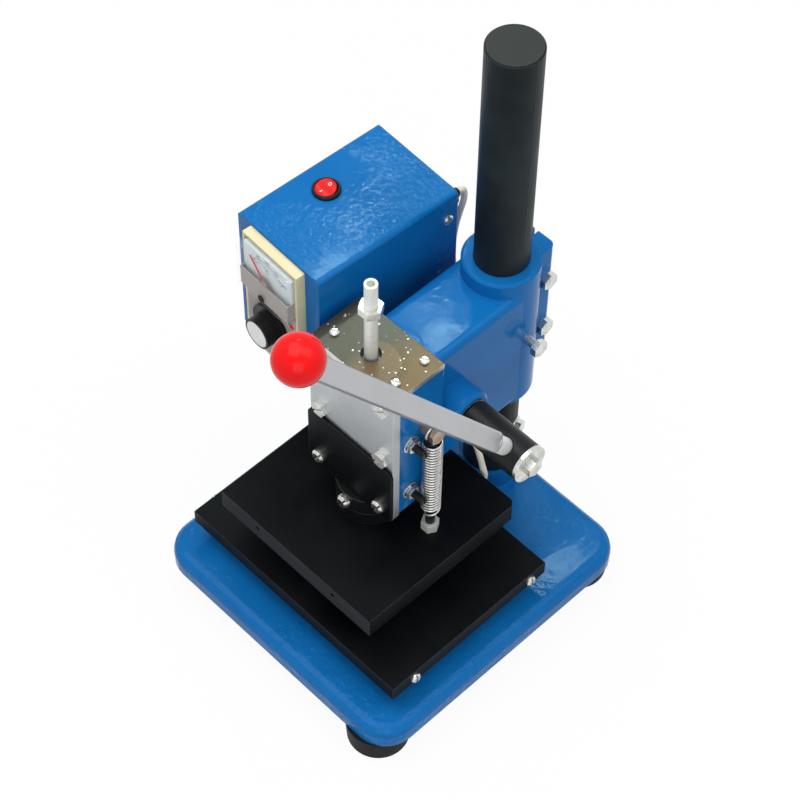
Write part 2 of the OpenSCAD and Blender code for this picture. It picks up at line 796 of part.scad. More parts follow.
module gib_lock_nuts() {
    placed() color("silver")
    for (z = gib_screw_z) translate([block_w / 2, gib_y, z]) face_right()
        difference() {
            hex(m5_flats, m5_nut_h);
            translate([0, 0, -1]) cylinder(h = m5_nut_h + 2, r = m5_r + seat_fit);
        }
}

module shaft_bushes() {
    placed() color("#b5883f")
    for (s = [[-arm_w / 2, -cavity_w / 2 - 0.5], [cavity_w / 2 + 0.5, boss_end]])
        difference() {
            along_x([s[0], pinion_y, pinion_z], s[1] - s[0], shaft_d / 2 + bush_wall);
            along_x([s[0] - 1, pinion_y, pinion_z], s[1] - s[0] + 2, shaft_d / 2 + run_fit);
        }
}

// Return spring and what holds it

module spring_stud() {
    shoulder = spring_x + wire_d / 2 + 1;
    placed() color("#c8b27a") {
        along_x([channel_right + 2.5, spring_y, stud_z], block_w / 2 - channel_right - 2, m6_r);
        along_x([block_w / 2, spring_y, stud_z], shoulder - block_w / 2, stud_r);
        translate([shoulder - eps, spring_y, stud_z]) face_right() hex(m6_flats, 3.2);
    }
}

module return_spring() {
    placed() color("gainsboro") tube(spring_path, wire_d, 6, [1, 0, 0]);
}

module spring_post() {
    groove_low = spring_ring_z - wire_d / 2 - pass_gap;
    groove_top = spring_ring_z + 0.45 * rise_h + wire_d / 2;
    placed() color("#2a2c2d")
    translate([spring_x, spring_y, 0]) {
        translate([0, 0, heat_top - 8]) cylinder(h = groove_low - heat_top + 8, r = m6_r);
        translate([0, 0, groove_low - eps])
            cylinder(h = groove_top - groove_low + 2 * eps, r = post_groove_r);
        translate([0, 0, groove_top]) cylinder(h = 1.6, r1 = post_groove_r, r2 = post_head_r);
        translate([0, 0, groove_top + 1.6 - eps]) cylinder(h = 2, r = post_head_r);
    }
}

module post_nut() {
    placed() color("silver")
    translate([spring_x, spring_y, heat_top])
    difference() {
        hex(m6_flats, post_nut_h);
        translate([0, 0, -1]) cylinder(h = post_nut_h + 2, r = m6_r + seat_fit);
    }
}

// Ram, heating plate and stop

module ram_bar() {
    pitch = PI * gear_module;
    half = pitch / 4 - 0.15;
    lean = tan(20);
    count = floor((ram_len - 8) / pitch);
    first = ceil((ram_z + 4 - pinion_z) / pitch);
    spigot_h = 12;
    placed() color("#5b5f62")
    difference() {
        union() {
            span([-ram_w / 2, ram_front, ram_z], [ram_w / 2, ram_back, ram_z + ram_len]);
            for (i = [first : first + count - 1])
                translate([-pinion_w / 2, pitch_y, pinion_z + i * pitch]) rotate([0, 90, 0])
                    linear_extrude(pinion_w)
                    polygon([[half + dedendum * lean, -dedendum - eps], [half - addendum * lean, addendum],
                        [-half + addendum * lean, addendum], [-half - dedendum * lean, -dedendum - eps]]);
        }
        translate([0, rod_y, ram_z - 1])
            cylinder(h = spigot_h + 1 + seat_fit, r = collar_spigot_r + seat_fit);
        translate([0, rod_y, ram_z + ram_len - rod_depth - seat_fit])
            cylinder(h = rod_depth + 1, r = rod_d / 2 + seat_fit);
    }
}

module stop_rod() {
    rod_z = ram_z + ram_len - rod_depth;
    top = top_plate_top + rod_rise;
    placed() color("#d8dadb")
    difference() {
        translate([0, rod_y, rod_z]) cylinder(h = top - rod_z, d = rod_d);
        translate([0, rod_y, top - 6]) cylinder(h = 7, d = rod_d - 3);
    }
}

module stop_nut() {
    nut_h = 5.4;
    placed() color("silver")
    translate([0, rod_y, top_plate_top + stop_nut_rise])
    difference() {
        hex(rod_d + 5, nut_h);
        translate([0, 0, -1]) cylinder(h = nut_h + 2, r = rod_d / 2 + run_fit);
    }
}

module plate_collar() {
    placed() color("#1f2122")
    difference() {
        translate([0, rod_y, collar_z]) {
            cylinder(h = collar_h, d = collar_d);
            translate([0, 0, collar_h - eps]) cylinder(h = collar_spigot_h, r = collar_spigot_r);
        }
        translate([0, rod_y, collar_z - 1]) cylinder(h = collar_h, r = plate_stud_r + seat_fit);
        along_y([0, rod_y - collar_d, collar_z + collar_h / 2], collar_d, m5_r + seat_fit);
    }
}

module collar_screw() {
    placed() color("silver")
    translate([0, rod_y - collar_d / 2, collar_z + collar_h / 2]) face_front() rotate([0, 0, 55])
        pan_screw(m5_r, collar_d / 2 - plate_stud_r - seat_fit, 4.6, 4);
}

module insulator() {
    placed() color("#2b2623")
    translate([0, rod_y, heat_top])
    difference() {
        cylinder(h = insulator_h, d = collar_d);
        translate([0, 0, -1]) cylinder(h = insulator_h + 2, r = plate_stud_r + seat_fit);
    }
}

module heating_plate() {
    half_w = heat_plate_w / 2;
    half_d = heat_plate_d / 2;
    placed() color("#202325")
    difference() {
        union() {
            span([-half_w, -half_d, heat_z], [half_w, half_d, heat_top]);
            translate([0, rod_y, heat_top - 1]) cylinder(h = insulator_h + collar_h - 2, r = plate_stud_r);
        }
        for (x = [-1, 1]) {
            along_y([x * hole_x, -half_d - 1, heat_z + hole_rise], hole_depth + 1, hole_r);
            along_y([x * cartridge_x, half_d - cartridge_len - seat_fit, heater_z], cartridge_len + 1,
                cartridge_r + seat_fit);
        }
        along_y([lead_x, half_d - lead_depth, heater_z], lead_depth + 1, lead_d / 2 + seat_fit);
        translate([spring_x, spring_y, heat_top - 8 - seat_fit]) cylinder(h = 9, r = m6_r + seat_fit);
        translate([half_w, half_d, heat_z + heat_plate_t / 2]) rotate([0, 0, 45])
            cube([4, 10, heat_plate_t + 2], center = true);
    }
}

module heater_cartridges() {
    placed() color("#a9a59b")
    for (x = [-1, 1])
        along_y([x * cartridge_x, heat_plate_d / 2 - cartridge_len, heater_z], cartridge_len, cartridge_r);
}

// Pinion, hub and lever

// Involute flank: the polar angle and radius where the unwound string has turned by the angle t
function flank_r(base_r, t) = base_r * sqrt(1 + pow(t * PI / 180, 2));
function flank_a(t) = t - atan(t * PI / 180);

module gear_outline(teeth, m) {
    r = m * teeth / 2;
    base_r = r * cos(20);
    tip_r = r + m;
    root_r = r - 1.25 * m;
    tip_t = sqrt(pow(tip_r / base_r, 2) - 1) * 180 / PI;
    half = 90 / teeth - 0.15 / r * 180 / PI + flank_a(tan(20) * 180 / PI);
    steps = [0 : 0.25 : 1];
    polygon([for (i = [0 : teeth - 1]) let (mid = 360 * (i + 0.5) / teeth) each concat(
        [[root_r * cos(mid - half - 0.3), root_r * sin(mid - half - 0.3)]],
        [for (s = steps) let (rr = flank_r(base_r, s * tip_t), a = mid - half + flank_a(s * tip_t))
            [rr * cos(a), rr * sin(a)]],
        [for (s = [1 : -0.25 : 0]) let (rr = flank_r(base_r, s * tip_t), a = mid + half - flank_a(s * tip_t))
            [rr * cos(a), rr * sin(a)]],
        [[root_r * cos(mid + half + 0.3), root_r * sin(mid + half + 0.3)]])]);
}

module pinion_gear() {
    placed() color("#6a6d70")
    translate([-pinion_w / 2, pinion_y, pinion_z]) rotate([0, 90, 0]) rotate([0, 0, -90])
        linear_extrude(pinion_w)
        difference() {
            gear_outline(pinion_teeth, gear_module);
            circle(shaft_d / 2 + seat_fit);
        }
}

module pinion_shaft() {
    start = -arm_w / 2 - pass_gap;
    placed() color("#3a3c3e") {
        along_x([start - shaft_head_t, pinion_y, pinion_z], shaft_head_t + eps, shaft_d / 2 + bush_wall);
        along_x([start, pinion_y, pinion_z], shaft_end - start, shaft_d / 2);
    }
}

module lever_hub() {
    placed() color("#1f2122")
    difference() {
        union() {
            translate([hub_start, pinion_y, pinion_z]) face_right()
                cylinder(h = 1, d1 = hub_d - 2, d2 = hub_d);
            along_x([hub_start + 1 - eps, pinion_y, pinion_z], hub_end - hub_start - 1, hub_d / 2);
        }
        along_x([hub_start - 1, pinion_y, pinion_z], shaft_end - hub_start + 1 + seat_fit,
            shaft_d / 2 + seat_fit);
        along_x([hub_end - 6.5, pinion_y, pinion_z], 10, m6_r + seat_fit);
        in_lever() translate([0, 0, -6 - seat_fit]) cylinder(h = hub_d, r = lever_end_d / 2 + seat_fit);
        in_lever() translate([0, 0, hub_d / 2 - 2]) cylinder(h = hub_d, r = lever_end_d / 2 + 1.6);
    }
}

module hub_washer() {
    placed() color("silver")
    difference() {
        along_x([hub_end, pinion_y, pinion_z], hub_washer_t, hub_d / 2 + 0.1);
        along_x([hub_end - 1, pinion_y, pinion_z], hub_washer_t + 2, m6_r + seat_fit);
    }
}

module hub_bolt() {
    placed() color("silver")
    translate([hub_end + hub_washer_t, pinion_y, pinion_z]) face_right()
        hex_bolt(m6_flats, m6_head_h, m6_r, hub_washer_t + 6);
}

module lever_bar() {
    bar_start = hub_d / 2 + 13;
    bar_end = lever_len - ball_d / 2 + 1.2;
    placed() color("#b6b9bc")
    in_lever() {
        translate([0, 0, -6]) cylinder(h = bar_start + 8, d = lever_end_d);
        rotate([0, 0, lever_twist]) intersection() {
            translate([0, 0, bar_start]) linear_extrude(bar_end - bar_start) round_rect(lever_t, lever_w, 1.5);
            union() {
                along_x([-lever_t, 0, bar_start + lever_w / 2], 2 * lever_t, lever_w / 2 + 0.3);
                span([-lever_t, -lever_w, bar_start + lever_w / 2], [lever_t, lever_w, bar_end + 1]);
            }
        }
        translate([0, 0, bar_end - eps]) cylinder(h = ball_d / 2, d = lever_end_d - 2);
    }
}

module ball_knob() {
    flat_z = -ball_d / 2 + 1.2;
    placed() color("red")
    in_lever() translate([0, 0, lever_len])
    difference() {
        sphere(d = ball_d, $fn = 64);
        translate([0, 0, flat_z - ball_d]) cylinder(h = ball_d, d = ball_d);
        translate([0, 0, flat_z - 1])
            cylinder(h = ball_d / 2 + 1 + seat_fit, r = lever_end_d / 2 - 1 + seat_fit);
    }
}

// Control box

module box_spacers() {
    placed() color("silver")
    for (p = spacer_spots)
        difference() {
            along_x([-box_x - 8, p[0], p[1]], box_x + 8 - arm_w / 2, spacer_r);
            along_x([-box_x - 9, p[0], p[1]], box_x, m6_r + seat_fit);
            in_box() span([-box_w, -box_d, -box_h], [0, 2 * box_d, 2 * box_h]);
        }
}

module box_bolts() {
    placed() color("silver")
    for (p = spacer_spots) {
        inset = (p[0] - box_y) * sin(box_yaw);
        wall_x = -box_x - inset - sheet_t / cos(box_yaw) - corner_r(m6_flats) * abs(sin(box_yaw)) - 0.05;
        translate([wall_x, p[0], p[1]]) face_left()
            hex_bolt(m6_flats, m6_head_h, m6_r, -arm_w / 2 + box_bolt_depth - wall_x);
    }
}

// Where the spacers' bolts go through the box's wall
module box_bolt_holes() {
    for (p = spacer_spots)
        rotate([0, 0, -box_yaw]) translate([box_x, -box_y, -box_z])
            along_x([-box_x - 20, p[0], p[1]], 40, m6_r + 0.5);
}

module box_chassis() {
    inner = sheet_t + seat_fit;
    placed() color("royalblue")
    in_box() difference() {
        union() {
            span([-box_w + inner, 0, 0], [-inner, sheet_t, box_h - inner]);
            span([-box_w + inner, 0, 0], [-inner, box_d, sheet_t]);
            span([-box_w + inner, box_d - sheet_t, 0], [-inner, box_d, box_h - inner]);
            for (x = [-inner - sheet_t, -box_w + inner])
                span([x, box_d - tab_w, 0], [x + sheet_t, box_d, box_h - inner]);
        }
        span([bezel_x - case_w / 2 - seat_fit, -1, bezel_z - case_h / 2 - seat_fit],
            [bezel_x + case_w / 2 + seat_fit, sheet_t + 1, bezel_z + case_h / 2 + seat_fit]);
        for (p = [lead_exit, mains_exit])
            along_y([p[0], box_d - sheet_t - 1, p[1]], 5, gland_r - 1 + seat_fit);
        for (z = box_screw_z) along_x([-box_w - 1, box_screw_y, z], box_w + 2, m4_r + seat_fit);
    }
}

module box_cover() {
    placed() color("royalblue")
    in_box() difference() {
        translate([-box_w / 2, 0, 0]) rotate([-90, 0, 0])
            linear_extrude(box_d) round_rect(box_w, 2 * box_h, fold_r);
        span([-box_w - 1, -1, -box_h - 1], [1, box_d + 1, 0]);
        span([-box_w + sheet_t, -1, -1], [-sheet_t, box_d + 1, box_h - sheet_t]);
        translate([switch_spot[0], switch_spot[1], box_h - 5]) cylinder(h = 10, r = switch_rim_d / 2 - 1.2);
        for (z = box_screw_z) along_x([-box_w - 1, box_screw_y, z], box_w + 2, m4_r + seat_fit);
        box_bolt_holes();
    }
}

module box_screws() {
    placed() color("silver")
    in_box() for (z = box_screw_z) {
        translate([0, box_screw_y, z]) face_right() pan_screw(m4_r, 5, 3.4, 2);
        translate([-box_w, box_screw_y, z]) face_left() pan_screw(m4_r, 5, 3.4, 2);
    }
}

module controller_case() {
    placed() color("#2a2b2c")
    in_box() {
        translate([bezel_x, 0, bezel_z])
            span([-case_w / 2, dial_y + dial_t, -case_h / 2], [case_w / 2, case_depth, case_h / 2]);
        along_y([bezel_x, -bezel_t - knob_len + 3, knob_z], bezel_t + knob_len - 2, spindle_r);
    }
}

module controller_bezel() {
    placed() color("#f0dfae")
    in_box() translate([bezel_x, 0, bezel_z])
    difference() {
        span([-bezel_w / 2, -bezel_t, -bezel_h / 2], [bezel_w / 2, 0, bezel_h / 2]);
        span([-bezel_w / 2 + frame_w, -bezel_t - 1, -bezel_h / 2 + frame_w],
            [bezel_w / 2 - frame_w, dial_y + dial_t, bezel_h / 2 - frame_w]);
        span([-case_w / 2 - seat_fit, dial_y + dial_t - seat_fit, -case_h / 2 - seat_fit],
            [case_w / 2 + seat_fit, 1, case_h / 2 + seat_fit]);
    }
}

module controller_panel() {
    low = bezel_z - bezel_h / 2 + frame_w + seat_fit;
    high = window_z - window_h / 2 - seat_fit;
    placed() color("#8f8f8d")
    in_box() difference() {
        span([bezel_x - window_w / 2 + seat_fit, -bezel_t, low],
            [bezel_x + window_w / 2 - seat_fit, dial_y + dial_t - seat_fit, high]);
        along_y([bezel_x, -bezel_t - 1, knob_z], bezel_t + 1, spindle_r + seat_fit);
    }
}

module dial_plate() {
    placed() color("white")
    in_box() {
        translate([bezel_x, 0, window_z]) {
            span([-window_w / 2 + seat_fit, dial_y, -window_h / 2],
                [window_w / 2 - seat_fit, dial_y + dial_t - seat_fit, window_h / 2 - seat_fit]);
            span([-window_w / 2 + dial_inset, dial_face, -window_h / 2 + dial_inset],
                [window_w / 2 - dial_inset, dial_y + eps, window_h / 2 - dial_inset]);
        }
        along_y([bezel_x, needle_y - 1, needle_z], dial_face - needle_y + 1 + eps, 0.8);
    }
}

module meter_window() {
    placed() color("#dfe8ea", 0.4)
    in_box() translate([bezel_x, 0, window_z])
    difference() {
        span([-window_w / 2 + seat_fit, -bezel_t - window_t, -window_h / 2],
            [window_w / 2 - seat_fit, dial_y, window_h / 2 - seat_fit]);
        span([-window_w / 2 + window_wall, -bezel_t - window_t + window_wall, -window_h / 2 + window_wall],
            [window_w / 2 - window_wall, dial_y + 1, window_h / 2 - window_wall]);
    }
}

module meter_needle() {
    placed() color("#b02020")
    in_box() translate([bezel_x, needle_y, needle_z]) rotate([0, needle_rest * -1, 0])
    difference() {
        union() {
            along_y([0, -0.4, 0], 0.8, 2.2);
            span([-0.4, -0.3, -7], [0.4, 0.3, needle_len]);
        }
        along_y([0, -2, 0], 4, 0.8 + run_fit);
    }
}

module temperature_knob() {
    start = -bezel_t - pass_gap;
    placed() color("#1b1b1c")
    in_box() translate([bezel_x, 0, knob_z])
    difference() {
        union() {
            along_y([0, start - skirt_t, 0], skirt_t, knob_d / 2 + 4.5);
            along_y([0, -bezel_t - knob_len, 0], knob_len - pass_gap - skirt_t + eps, knob_d / 2);
        }
        along_y([0, -bezel_t - knob_len + 3 - pass_gap, 0], knob_len, spindle_r + run_fit);
        translate([-0.5, -bezel_t - knob_len - 1, knob_d / 2 - 3.5]) cube([1, 2, 6]);
    }
}

module switch_body() {
    barrel_r = switch_rim_d / 2 - 1.2 - seat_fit;
    placed() color("#1b1b1c")
    in_box() translate([switch_spot[0], switch_spot[1], box_h])
    difference() {
        union() {
            cylinder(h = 1.4, d = switch_rim_d);
            translate([0, 0, 1.4 - eps]) cylinder(h = 0.8, d1 = switch_rim_d, d2 = switch_rim_d - 1.6);
            translate([0, 0, -switch_depth]) cylinder(h = switch_depth + eps, r = barrel_r);
        }
        translate([0, 0, -5]) cylinder(h = 10, r = rocker_d / 2 + 0.6);
    }
    placed() color("#1b1b1c")
    in_box() translate([switch_spot[0], switch_spot[1], box_h - 1])
        along_x([-rocker_d / 2 - 0.8, 0, 0], rocker_d + 1.6, 0.9);
}

module rocker() {
    placed() color("red")
    in_box() translate([switch_spot[0], switch_spot[1], box_h - 1]) rotate([rocker_tilt, 0, 0])
    difference() {
        translate([0, 0, -2.4]) cylinder(h = 6.2, d = rocker_d);
        translate([0, 0, 26]) rotate([0, 90, 0])
            cylinder(h = 2 * rocker_d, r = 22.6, center = true, $fn = 96);
        along_x([-rocker_d, 0, 0], 2 * rocker_d, 0.9 + run_fit);
    }
}

module gland(p) {
    in_box() difference() {
        union() {
            along_y([p[0], box_d - 3, p[1]], 3, gland_r - 1);
            along_y([p[0], box_d, p[1]], 2, gland_r + 1.5);
            translate([p[0], box_d + 2 - eps, p[1]]) rotate([-90, 0, 0])
                cylinder(h = gland_len - 2, r1 = gland_r, r2 = gland_r - 1.4);
        }
        along_y([p[0], box_d - 4, p[1]], 20, lead_d / 2 + seat_fit);
    }
}

module lead_gland() {
    placed() color("#1b1b1c") gland(lead_exit);
}

module mains_gland() {
    placed() color("#1b1b1c") gland(mains_exit);
}

module heater_lead() {
    placed() color("#efe6c4") tube(smooth(lead_route), lead_d, 8, [0, 0, 1]);
}

base_casting();
rubber_feet();
foot_screws();
column();
column_nut();
column_stop_bolt();
work_plate();
work_plate_bolts();
plate_side_screws();
head_casting();
clamp_bolts();
set_bolt();
top_plate();
top_plate_screws();
front_plate();
front_plate_bolts();
guard_plate();
guard_screws();
gib_strip();
gib_screws();
gib_lock_nuts();
shaft_bushes();
spring_stud();
return_spring();
box_spacers();
box_bolts();
box_chassis();
box_cover();
box_screws();
controller_case();
controller_bezel();
controller_panel();
meter_window();
dial_plate();
switch_body();
lead_gland();
mains_gland();
heater_lead();
ram_bar();
stop_rod();
plate_collar();
collar_screw();
insulator();
heating_plate();
heater_cartridges();
spring_post();
post_nut();
pinion_shaft();
pinion_gear();
lever_hub();
hub_washer();
hub_bolt();
lever_bar();
ball_knob();
stop_nut();
rocker();
temperature_knob();
meter_needle();
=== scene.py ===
# %% [markdown]
# # A bench-top hot foil stamping machine
# The machine is a small lever press. Its solids come from the CAD model, already in place and
# already joined to the bodies that move, so this lesson adds what the solids lack: finishes, the
# wound spring, the soft heater lead, the dial's print and the small marks. All lengths are metres
# in the CAD frame.

# %% Load the solids
import math

import bmesh
import bpy
from mathutils import Matrix, Vector


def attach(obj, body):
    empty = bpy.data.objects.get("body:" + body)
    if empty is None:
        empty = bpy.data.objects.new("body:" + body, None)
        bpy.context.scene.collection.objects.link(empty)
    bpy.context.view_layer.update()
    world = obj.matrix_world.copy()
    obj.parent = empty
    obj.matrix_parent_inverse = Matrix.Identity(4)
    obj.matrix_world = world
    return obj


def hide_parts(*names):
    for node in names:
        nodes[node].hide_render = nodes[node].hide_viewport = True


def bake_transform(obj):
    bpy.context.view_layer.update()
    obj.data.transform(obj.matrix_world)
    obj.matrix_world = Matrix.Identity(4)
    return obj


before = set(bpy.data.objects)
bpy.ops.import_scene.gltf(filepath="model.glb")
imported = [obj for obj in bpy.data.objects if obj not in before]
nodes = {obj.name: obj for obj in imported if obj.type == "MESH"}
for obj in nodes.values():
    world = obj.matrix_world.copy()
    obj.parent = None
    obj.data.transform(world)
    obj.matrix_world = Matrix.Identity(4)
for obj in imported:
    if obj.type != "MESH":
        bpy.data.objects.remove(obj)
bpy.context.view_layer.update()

# %% [markdown]
# ## Camera
# The photograph looks down from the front right with a long lens. The camera's place was fitted to
# the plates' corners, so it is written as a point and three angles, which are turned into a matrix
# here. Helpers that aim a camera at a target would lose the small roll of the picture.

# %% Camera
MM = 0.001
SHIFT = Vector((5.45066, -4.49159, 0.0))
EYE = (612.085, -583.252, 1325.552)
AZIMUTH, ELEVATION, ROLL = 45.14, 53.07, 0.82
FOCAL, SENSOR = 109.94, 36


def at(x, y, z):
    """A point given in millimetres from the press axis and the floor, in the CAD frame."""
    return (Vector((x, y, z)) + SHIFT) * MM


def camera_axes(azimuth, elevation, roll):
    """The camera's right, up and back directions."""
    az, el, ro = (math.radians(a) for a in (azimuth, elevation, roll))
    back = Vector((math.sin(az) * math.cos(el), -math.cos(az) * math.cos(el), math.sin(el)))
    right = Vector((math.cos(az), math.sin(az), 0))
    up = back.cross(right)
    return (math.cos(ro) * right + math.sin(ro) * up,
            math.cos(ro) * up - math.sin(ro) * right, back)


lens = bpy.data.cameras.new("camera")
lens.lens = FOCAL
lens.sensor_width = SENSOR
camera = bpy.data.objects.new("camera", lens)
turn = Matrix(camera_axes(AZIMUTH, ELEVATION, ROLL)).transposed().to_4x4()
camera.matrix_world = Matrix.Translation(at(*EYE)) @ turn
bpy.context.collection.objects.link(camera)
bpy.context.scene.camera = camera
print("camera at", [round(v, 3) for v in camera.location])

# %% [markdown]
# ## Shader sums
# A finish is easier to read as a formula than as a web of nodes. The class below stands for one
# socket: adding or multiplying it places a Math node. Everything else, such as a noise or a bump,
# comes from `add_node`, which sets the node up first and then fills in its sockets.


# %% A socket that can be used in sums
class Wire:
    def __init__(self, tree, socket):
        self.tree = tree
        self.socket = socket

    def sum(self, operation, first, second):
        settings = {"operation": operation}
        return add_node(self.tree, "ShaderNodeMath", settings, _0=first, _1=second)

    def __add__(self, other):
        return self.sum("ADD", self, other)

    def __sub__(self, other):
        return self.sum("SUBTRACT", self, other)

    def __rsub__(self, other):
        return self.sum("SUBTRACT", other, self)

    def __mul__(self, other):
        return self.sum("MULTIPLY", self, other)

    def most(self, other):
        return self.sum("MAXIMUM", self, other)

    __radd__ = __add__
    __rmul__ = __mul__


def fill(tree, socket, value):
    """Links a wire to a socket, or writes a plain value on it."""
    if isinstance(value, Wire):
        tree.links.new(value.socket, socket)
    elif hasattr(value, "__len__") and len(value) == 3 and socket.type == "RGBA":
        socket.default_value = (*value, 1)
    else:
        socket.default_value = value


def add_node(tree, kind, settings=None, out=0, **sockets):
    """Places a node. A socket goes by its name, with _ for a space, or by its number, as in _0."""
    new = tree.nodes.new(kind)
    for name, value in (settings or {}).items():
        setattr(new, name, value)
    for name, value in sockets.items():
        key = int(name[1:]) if name[1:].isdigit() else name.replace("_", " ")
        fill(tree, new.inputs[key], value)
    return Wire(tree, new.outputs[out])


print("helpers for shader sums: Wire, fill, add_node")

# %% [markdown]
# ## A finish
# Each finish starts from object coordinates, which are metres on the machine itself, so grain
# keeps its size on every piece and moves with it. `edge` compares the surface's normal with a
# rounded one: it is high only along sharp edges, where black steel is rubbed and where a paler
# colour is a painted highlight, and the rounded normal softens those edges.

# %% The finish helper
# Where most of a noise's values lie, and where an edge's lean starts and ends, for wear and for
# painted highlights
NOISE, EDGE = (0.3, 0.7), (0.02, 0.22)
# A vector times this loses its height
LEVEL = (1, 1, 0)


class Finish:
    def __init__(self, name):
        self.material = bpy.data.materials.new(name)
        self.material.use_nodes = True
        self.tree = self.material.node_tree
        self.shader = self.tree.nodes["Principled BSDF"]
        self.place = self.node("ShaderNodeTexCoord", out="Object")

    def node(self, kind, settings=None, out=0, **sockets):
        return add_node(self.tree, kind, settings, out, **sockets)

    def vector(self, operation, *values):
        """A sum of vectors. A length or a dot product comes out as a number."""
        out = "Value" if operation in ("LENGTH", "DOT_PRODUCT") else "Vector"
        sockets = {f"_{k}": value for k, value in enumerate(values)}
        return self.node("ShaderNodeVectorMath", {"operation": operation}, out, **sockets)

    def noise(self, scale, detail=3.0, roughness=0.5, stretch=None):
        """Noise with so many waves to the metre, or with a number of them for each axis."""
        where = self.vector("MULTIPLY", self.place, stretch) if stretch else self.place
        return self.node("ShaderNodeTexNoise", Vector=where, Scale=scale, Detail=detail,
                         Roughness=roughness)

    def span(self, value, low, high, start=0.0, end=1.0):
        return self.node("ShaderNodeMapRange", Value=value, From_Min=low, From_Max=high,
                         To_Min=start, To_Max=end)

    def mix(self, share, first, second):
        return self.node("ShaderNodeMix", {"data_type": "RGBA"}, 2, _0=share, _6=first, _7=second)

    def normal(self):
        return self.node("ShaderNodeTexCoord", out="Normal")

    def facing(self, axis):
        """How far the surface faces along one of the object's own axes, from minus one to one."""
        return self.node("ShaderNodeSeparateXYZ", out=axis, Vector=self.normal())

    def rounded(self, radius):
        return self.node("ShaderNodeBevel", {"samples": 4}, Radius=radius)

    def edge(self, radius):
        soft = self.rounded(radius)
        hard = self.node("ShaderNodeNewGeometry", out="Normal")
        return self.span(1 - self.vector("DOT_PRODUCT", soft, hard), *EDGE)

    def bump(self, height, distance, strength, radius):
        return self.node("ShaderNodeBump", Height=height, Distance=distance, Strength=strength,
                         Normal=self.rounded(radius))

    def set(self, **values):
        for name, value in values.items():
            fill(self.tree, self.shader.inputs[name.replace("_", " ")], value)


finishes = {}


def dress(finish, *names):
    """Puts a finish on CAD solids."""
    for name in names:
        nodes[name].data.materials.clear()
        nodes[name].data.materials.append(finish.material)


print("helpers for finishes: Finish, dress")

# %% [markdown]
# ## Blue paint
# The castings and the box carry a thick gloss blue, as sprayed enamel is. Its skin is pebbled, but
# only in places: a slow noise says where the film lies smooth, so the lamps' reflections keep their
# shape and get ragged edges. The head's film lies smoother than the base's. Along its edges the
# blue is painted paler, a painted highlight such as light gives on a rounded brim.

# %% Blue paint
DEEP_BLUE, BLUE = (0.005, 0.15, 0.45), (0.007, 0.17, 0.5)
FLECK_BLUE, BRIM_HIGHLIGHT_BLUE = (0.01, 0.24, 0.58), (0.03, 0.27, 0.64)
PAINT_GLOSS, PAINT_SHEEN = (0.06, 0.1), 0.07


def blue_paint(name, pebbles, depth):
    paint = Finish(name)
    flow = paint.noise(26, detail=2.0)
    pebbled = paint.span(paint.noise(16, detail=2.0), 0.44, 0.6, 0.12, 1.0)
    skin = paint.noise(pebbles, detail=2.0) * pebbled
    tone = paint.mix(paint.span(flow, *NOISE), DEEP_BLUE, BLUE)
    fleck = paint.span(paint.noise(640, detail=1.0), 0.68, 0.74)
    tone = paint.mix(fleck * 0.2, tone, FLECK_BLUE)
    # Paler blue along the edges is a painted highlight.
    paint.set(Base_Color=paint.mix(paint.edge(0.0011) * 0.3, tone, BRIM_HIGHLIGHT_BLUE),
              Roughness=paint.span(flow, *NOISE, *PAINT_GLOSS), Specular_IOR_Level=PAINT_SHEEN,
              Normal=paint.bump(skin, depth, 1.0, 0.0012))
    return paint


finishes["cast blue"] = blue_paint("blue_paint_casting", pebbles=260, depth=0.0007)
finishes["head blue"] = blue_paint("blue_paint_head", pebbles=150, depth=0.0001)
finishes["box blue"] = blue_paint("blue_paint_box", pebbles=300, depth=0.0005)
dress(finishes["cast blue"], "base_casting")
dress(finishes["head blue"], "head_casting")
dress(finishes["box blue"], "box_cover", "box_chassis")
print("blue paint on the castings and the box")

# %% [markdown]
# ## Black steel
# The plates, the column and the guard are blackened steel: almost black, with a satin gloss that
# changes in faint brushed streaks, and greyer edges where handling has rubbed them. On the column,
# faces that look up are greyer too.

# %% Black steel
DUST_GREY, UPWARD_GREY, RUBBED_GREY = (0.06, 0.06, 0.06), (0.05, 0.052, 0.047), (0.16, 0.17, 0.17)


def black_steel(name, stretch, tone, gloss, wear, sheen, upward_grey=0.0):
    steel = Finish(name)
    streak = steel.noise(1.0, detail=4.0, roughness=0.6, stretch=stretch)
    cloud = steel.noise(28)
    paler = tuple(1.8 * c + 0.002 for c in tone)
    colour = steel.mix(steel.span(cloud, 0.35, 0.7), tone, paler)
    dust = steel.span(steel.noise(900, detail=1.0), 0.72, 0.78)
    colour = steel.mix(dust * 0.15, colour, DUST_GREY)
    # Faces that look up are mixed towards grey.
    top = steel.span(steel.facing("Z"), 0.8, 0.95)
    colour = steel.mix(top * upward_grey, colour, UPWARD_GREY)
    steel.set(Base_Color=steel.mix(steel.edge(0.0008) * wear, colour, RUBBED_GREY),
              Roughness=steel.span(streak + cloud * 0.5, 0.4, 1.1, gloss - 0.08, gloss + 0.12),
              Specular_IOR_Level=sheen, Normal=steel.bump(streak, 0.00005, 0.5, 0.0006))
    return steel


finishes["plate black"] = black_steel("black_plate", stretch=(40, 900, 900), gloss=0.42, wear=0.35,
                                      tone=(0.0008, 0.0014, 0.002), sheen=0.08)
finishes["column black"] = black_steel("black_column", stretch=(260, 260, 26), gloss=0.42, wear=0.5,
                                       tone=(0.01, 0.015, 0.017), sheen=0.08, upward_grey=0.7)
finishes["part black"] = black_steel("black_fitting", stretch=(300, 300, 300), gloss=0.36, wear=0.5,
                                     tone=(0.004, 0.0045, 0.005), sheen=0.2)
dress(finishes["plate black"], "work_plate", "heating_plate", "guard_plate")
dress(finishes["column black"], "column")
dress(finishes["part black"], "plate_collar", "lever_hub", "pinion_shaft", "gib_screws",
      "spring_post", "insulator", "box_spacers")
print("black steel on the plates and the column")
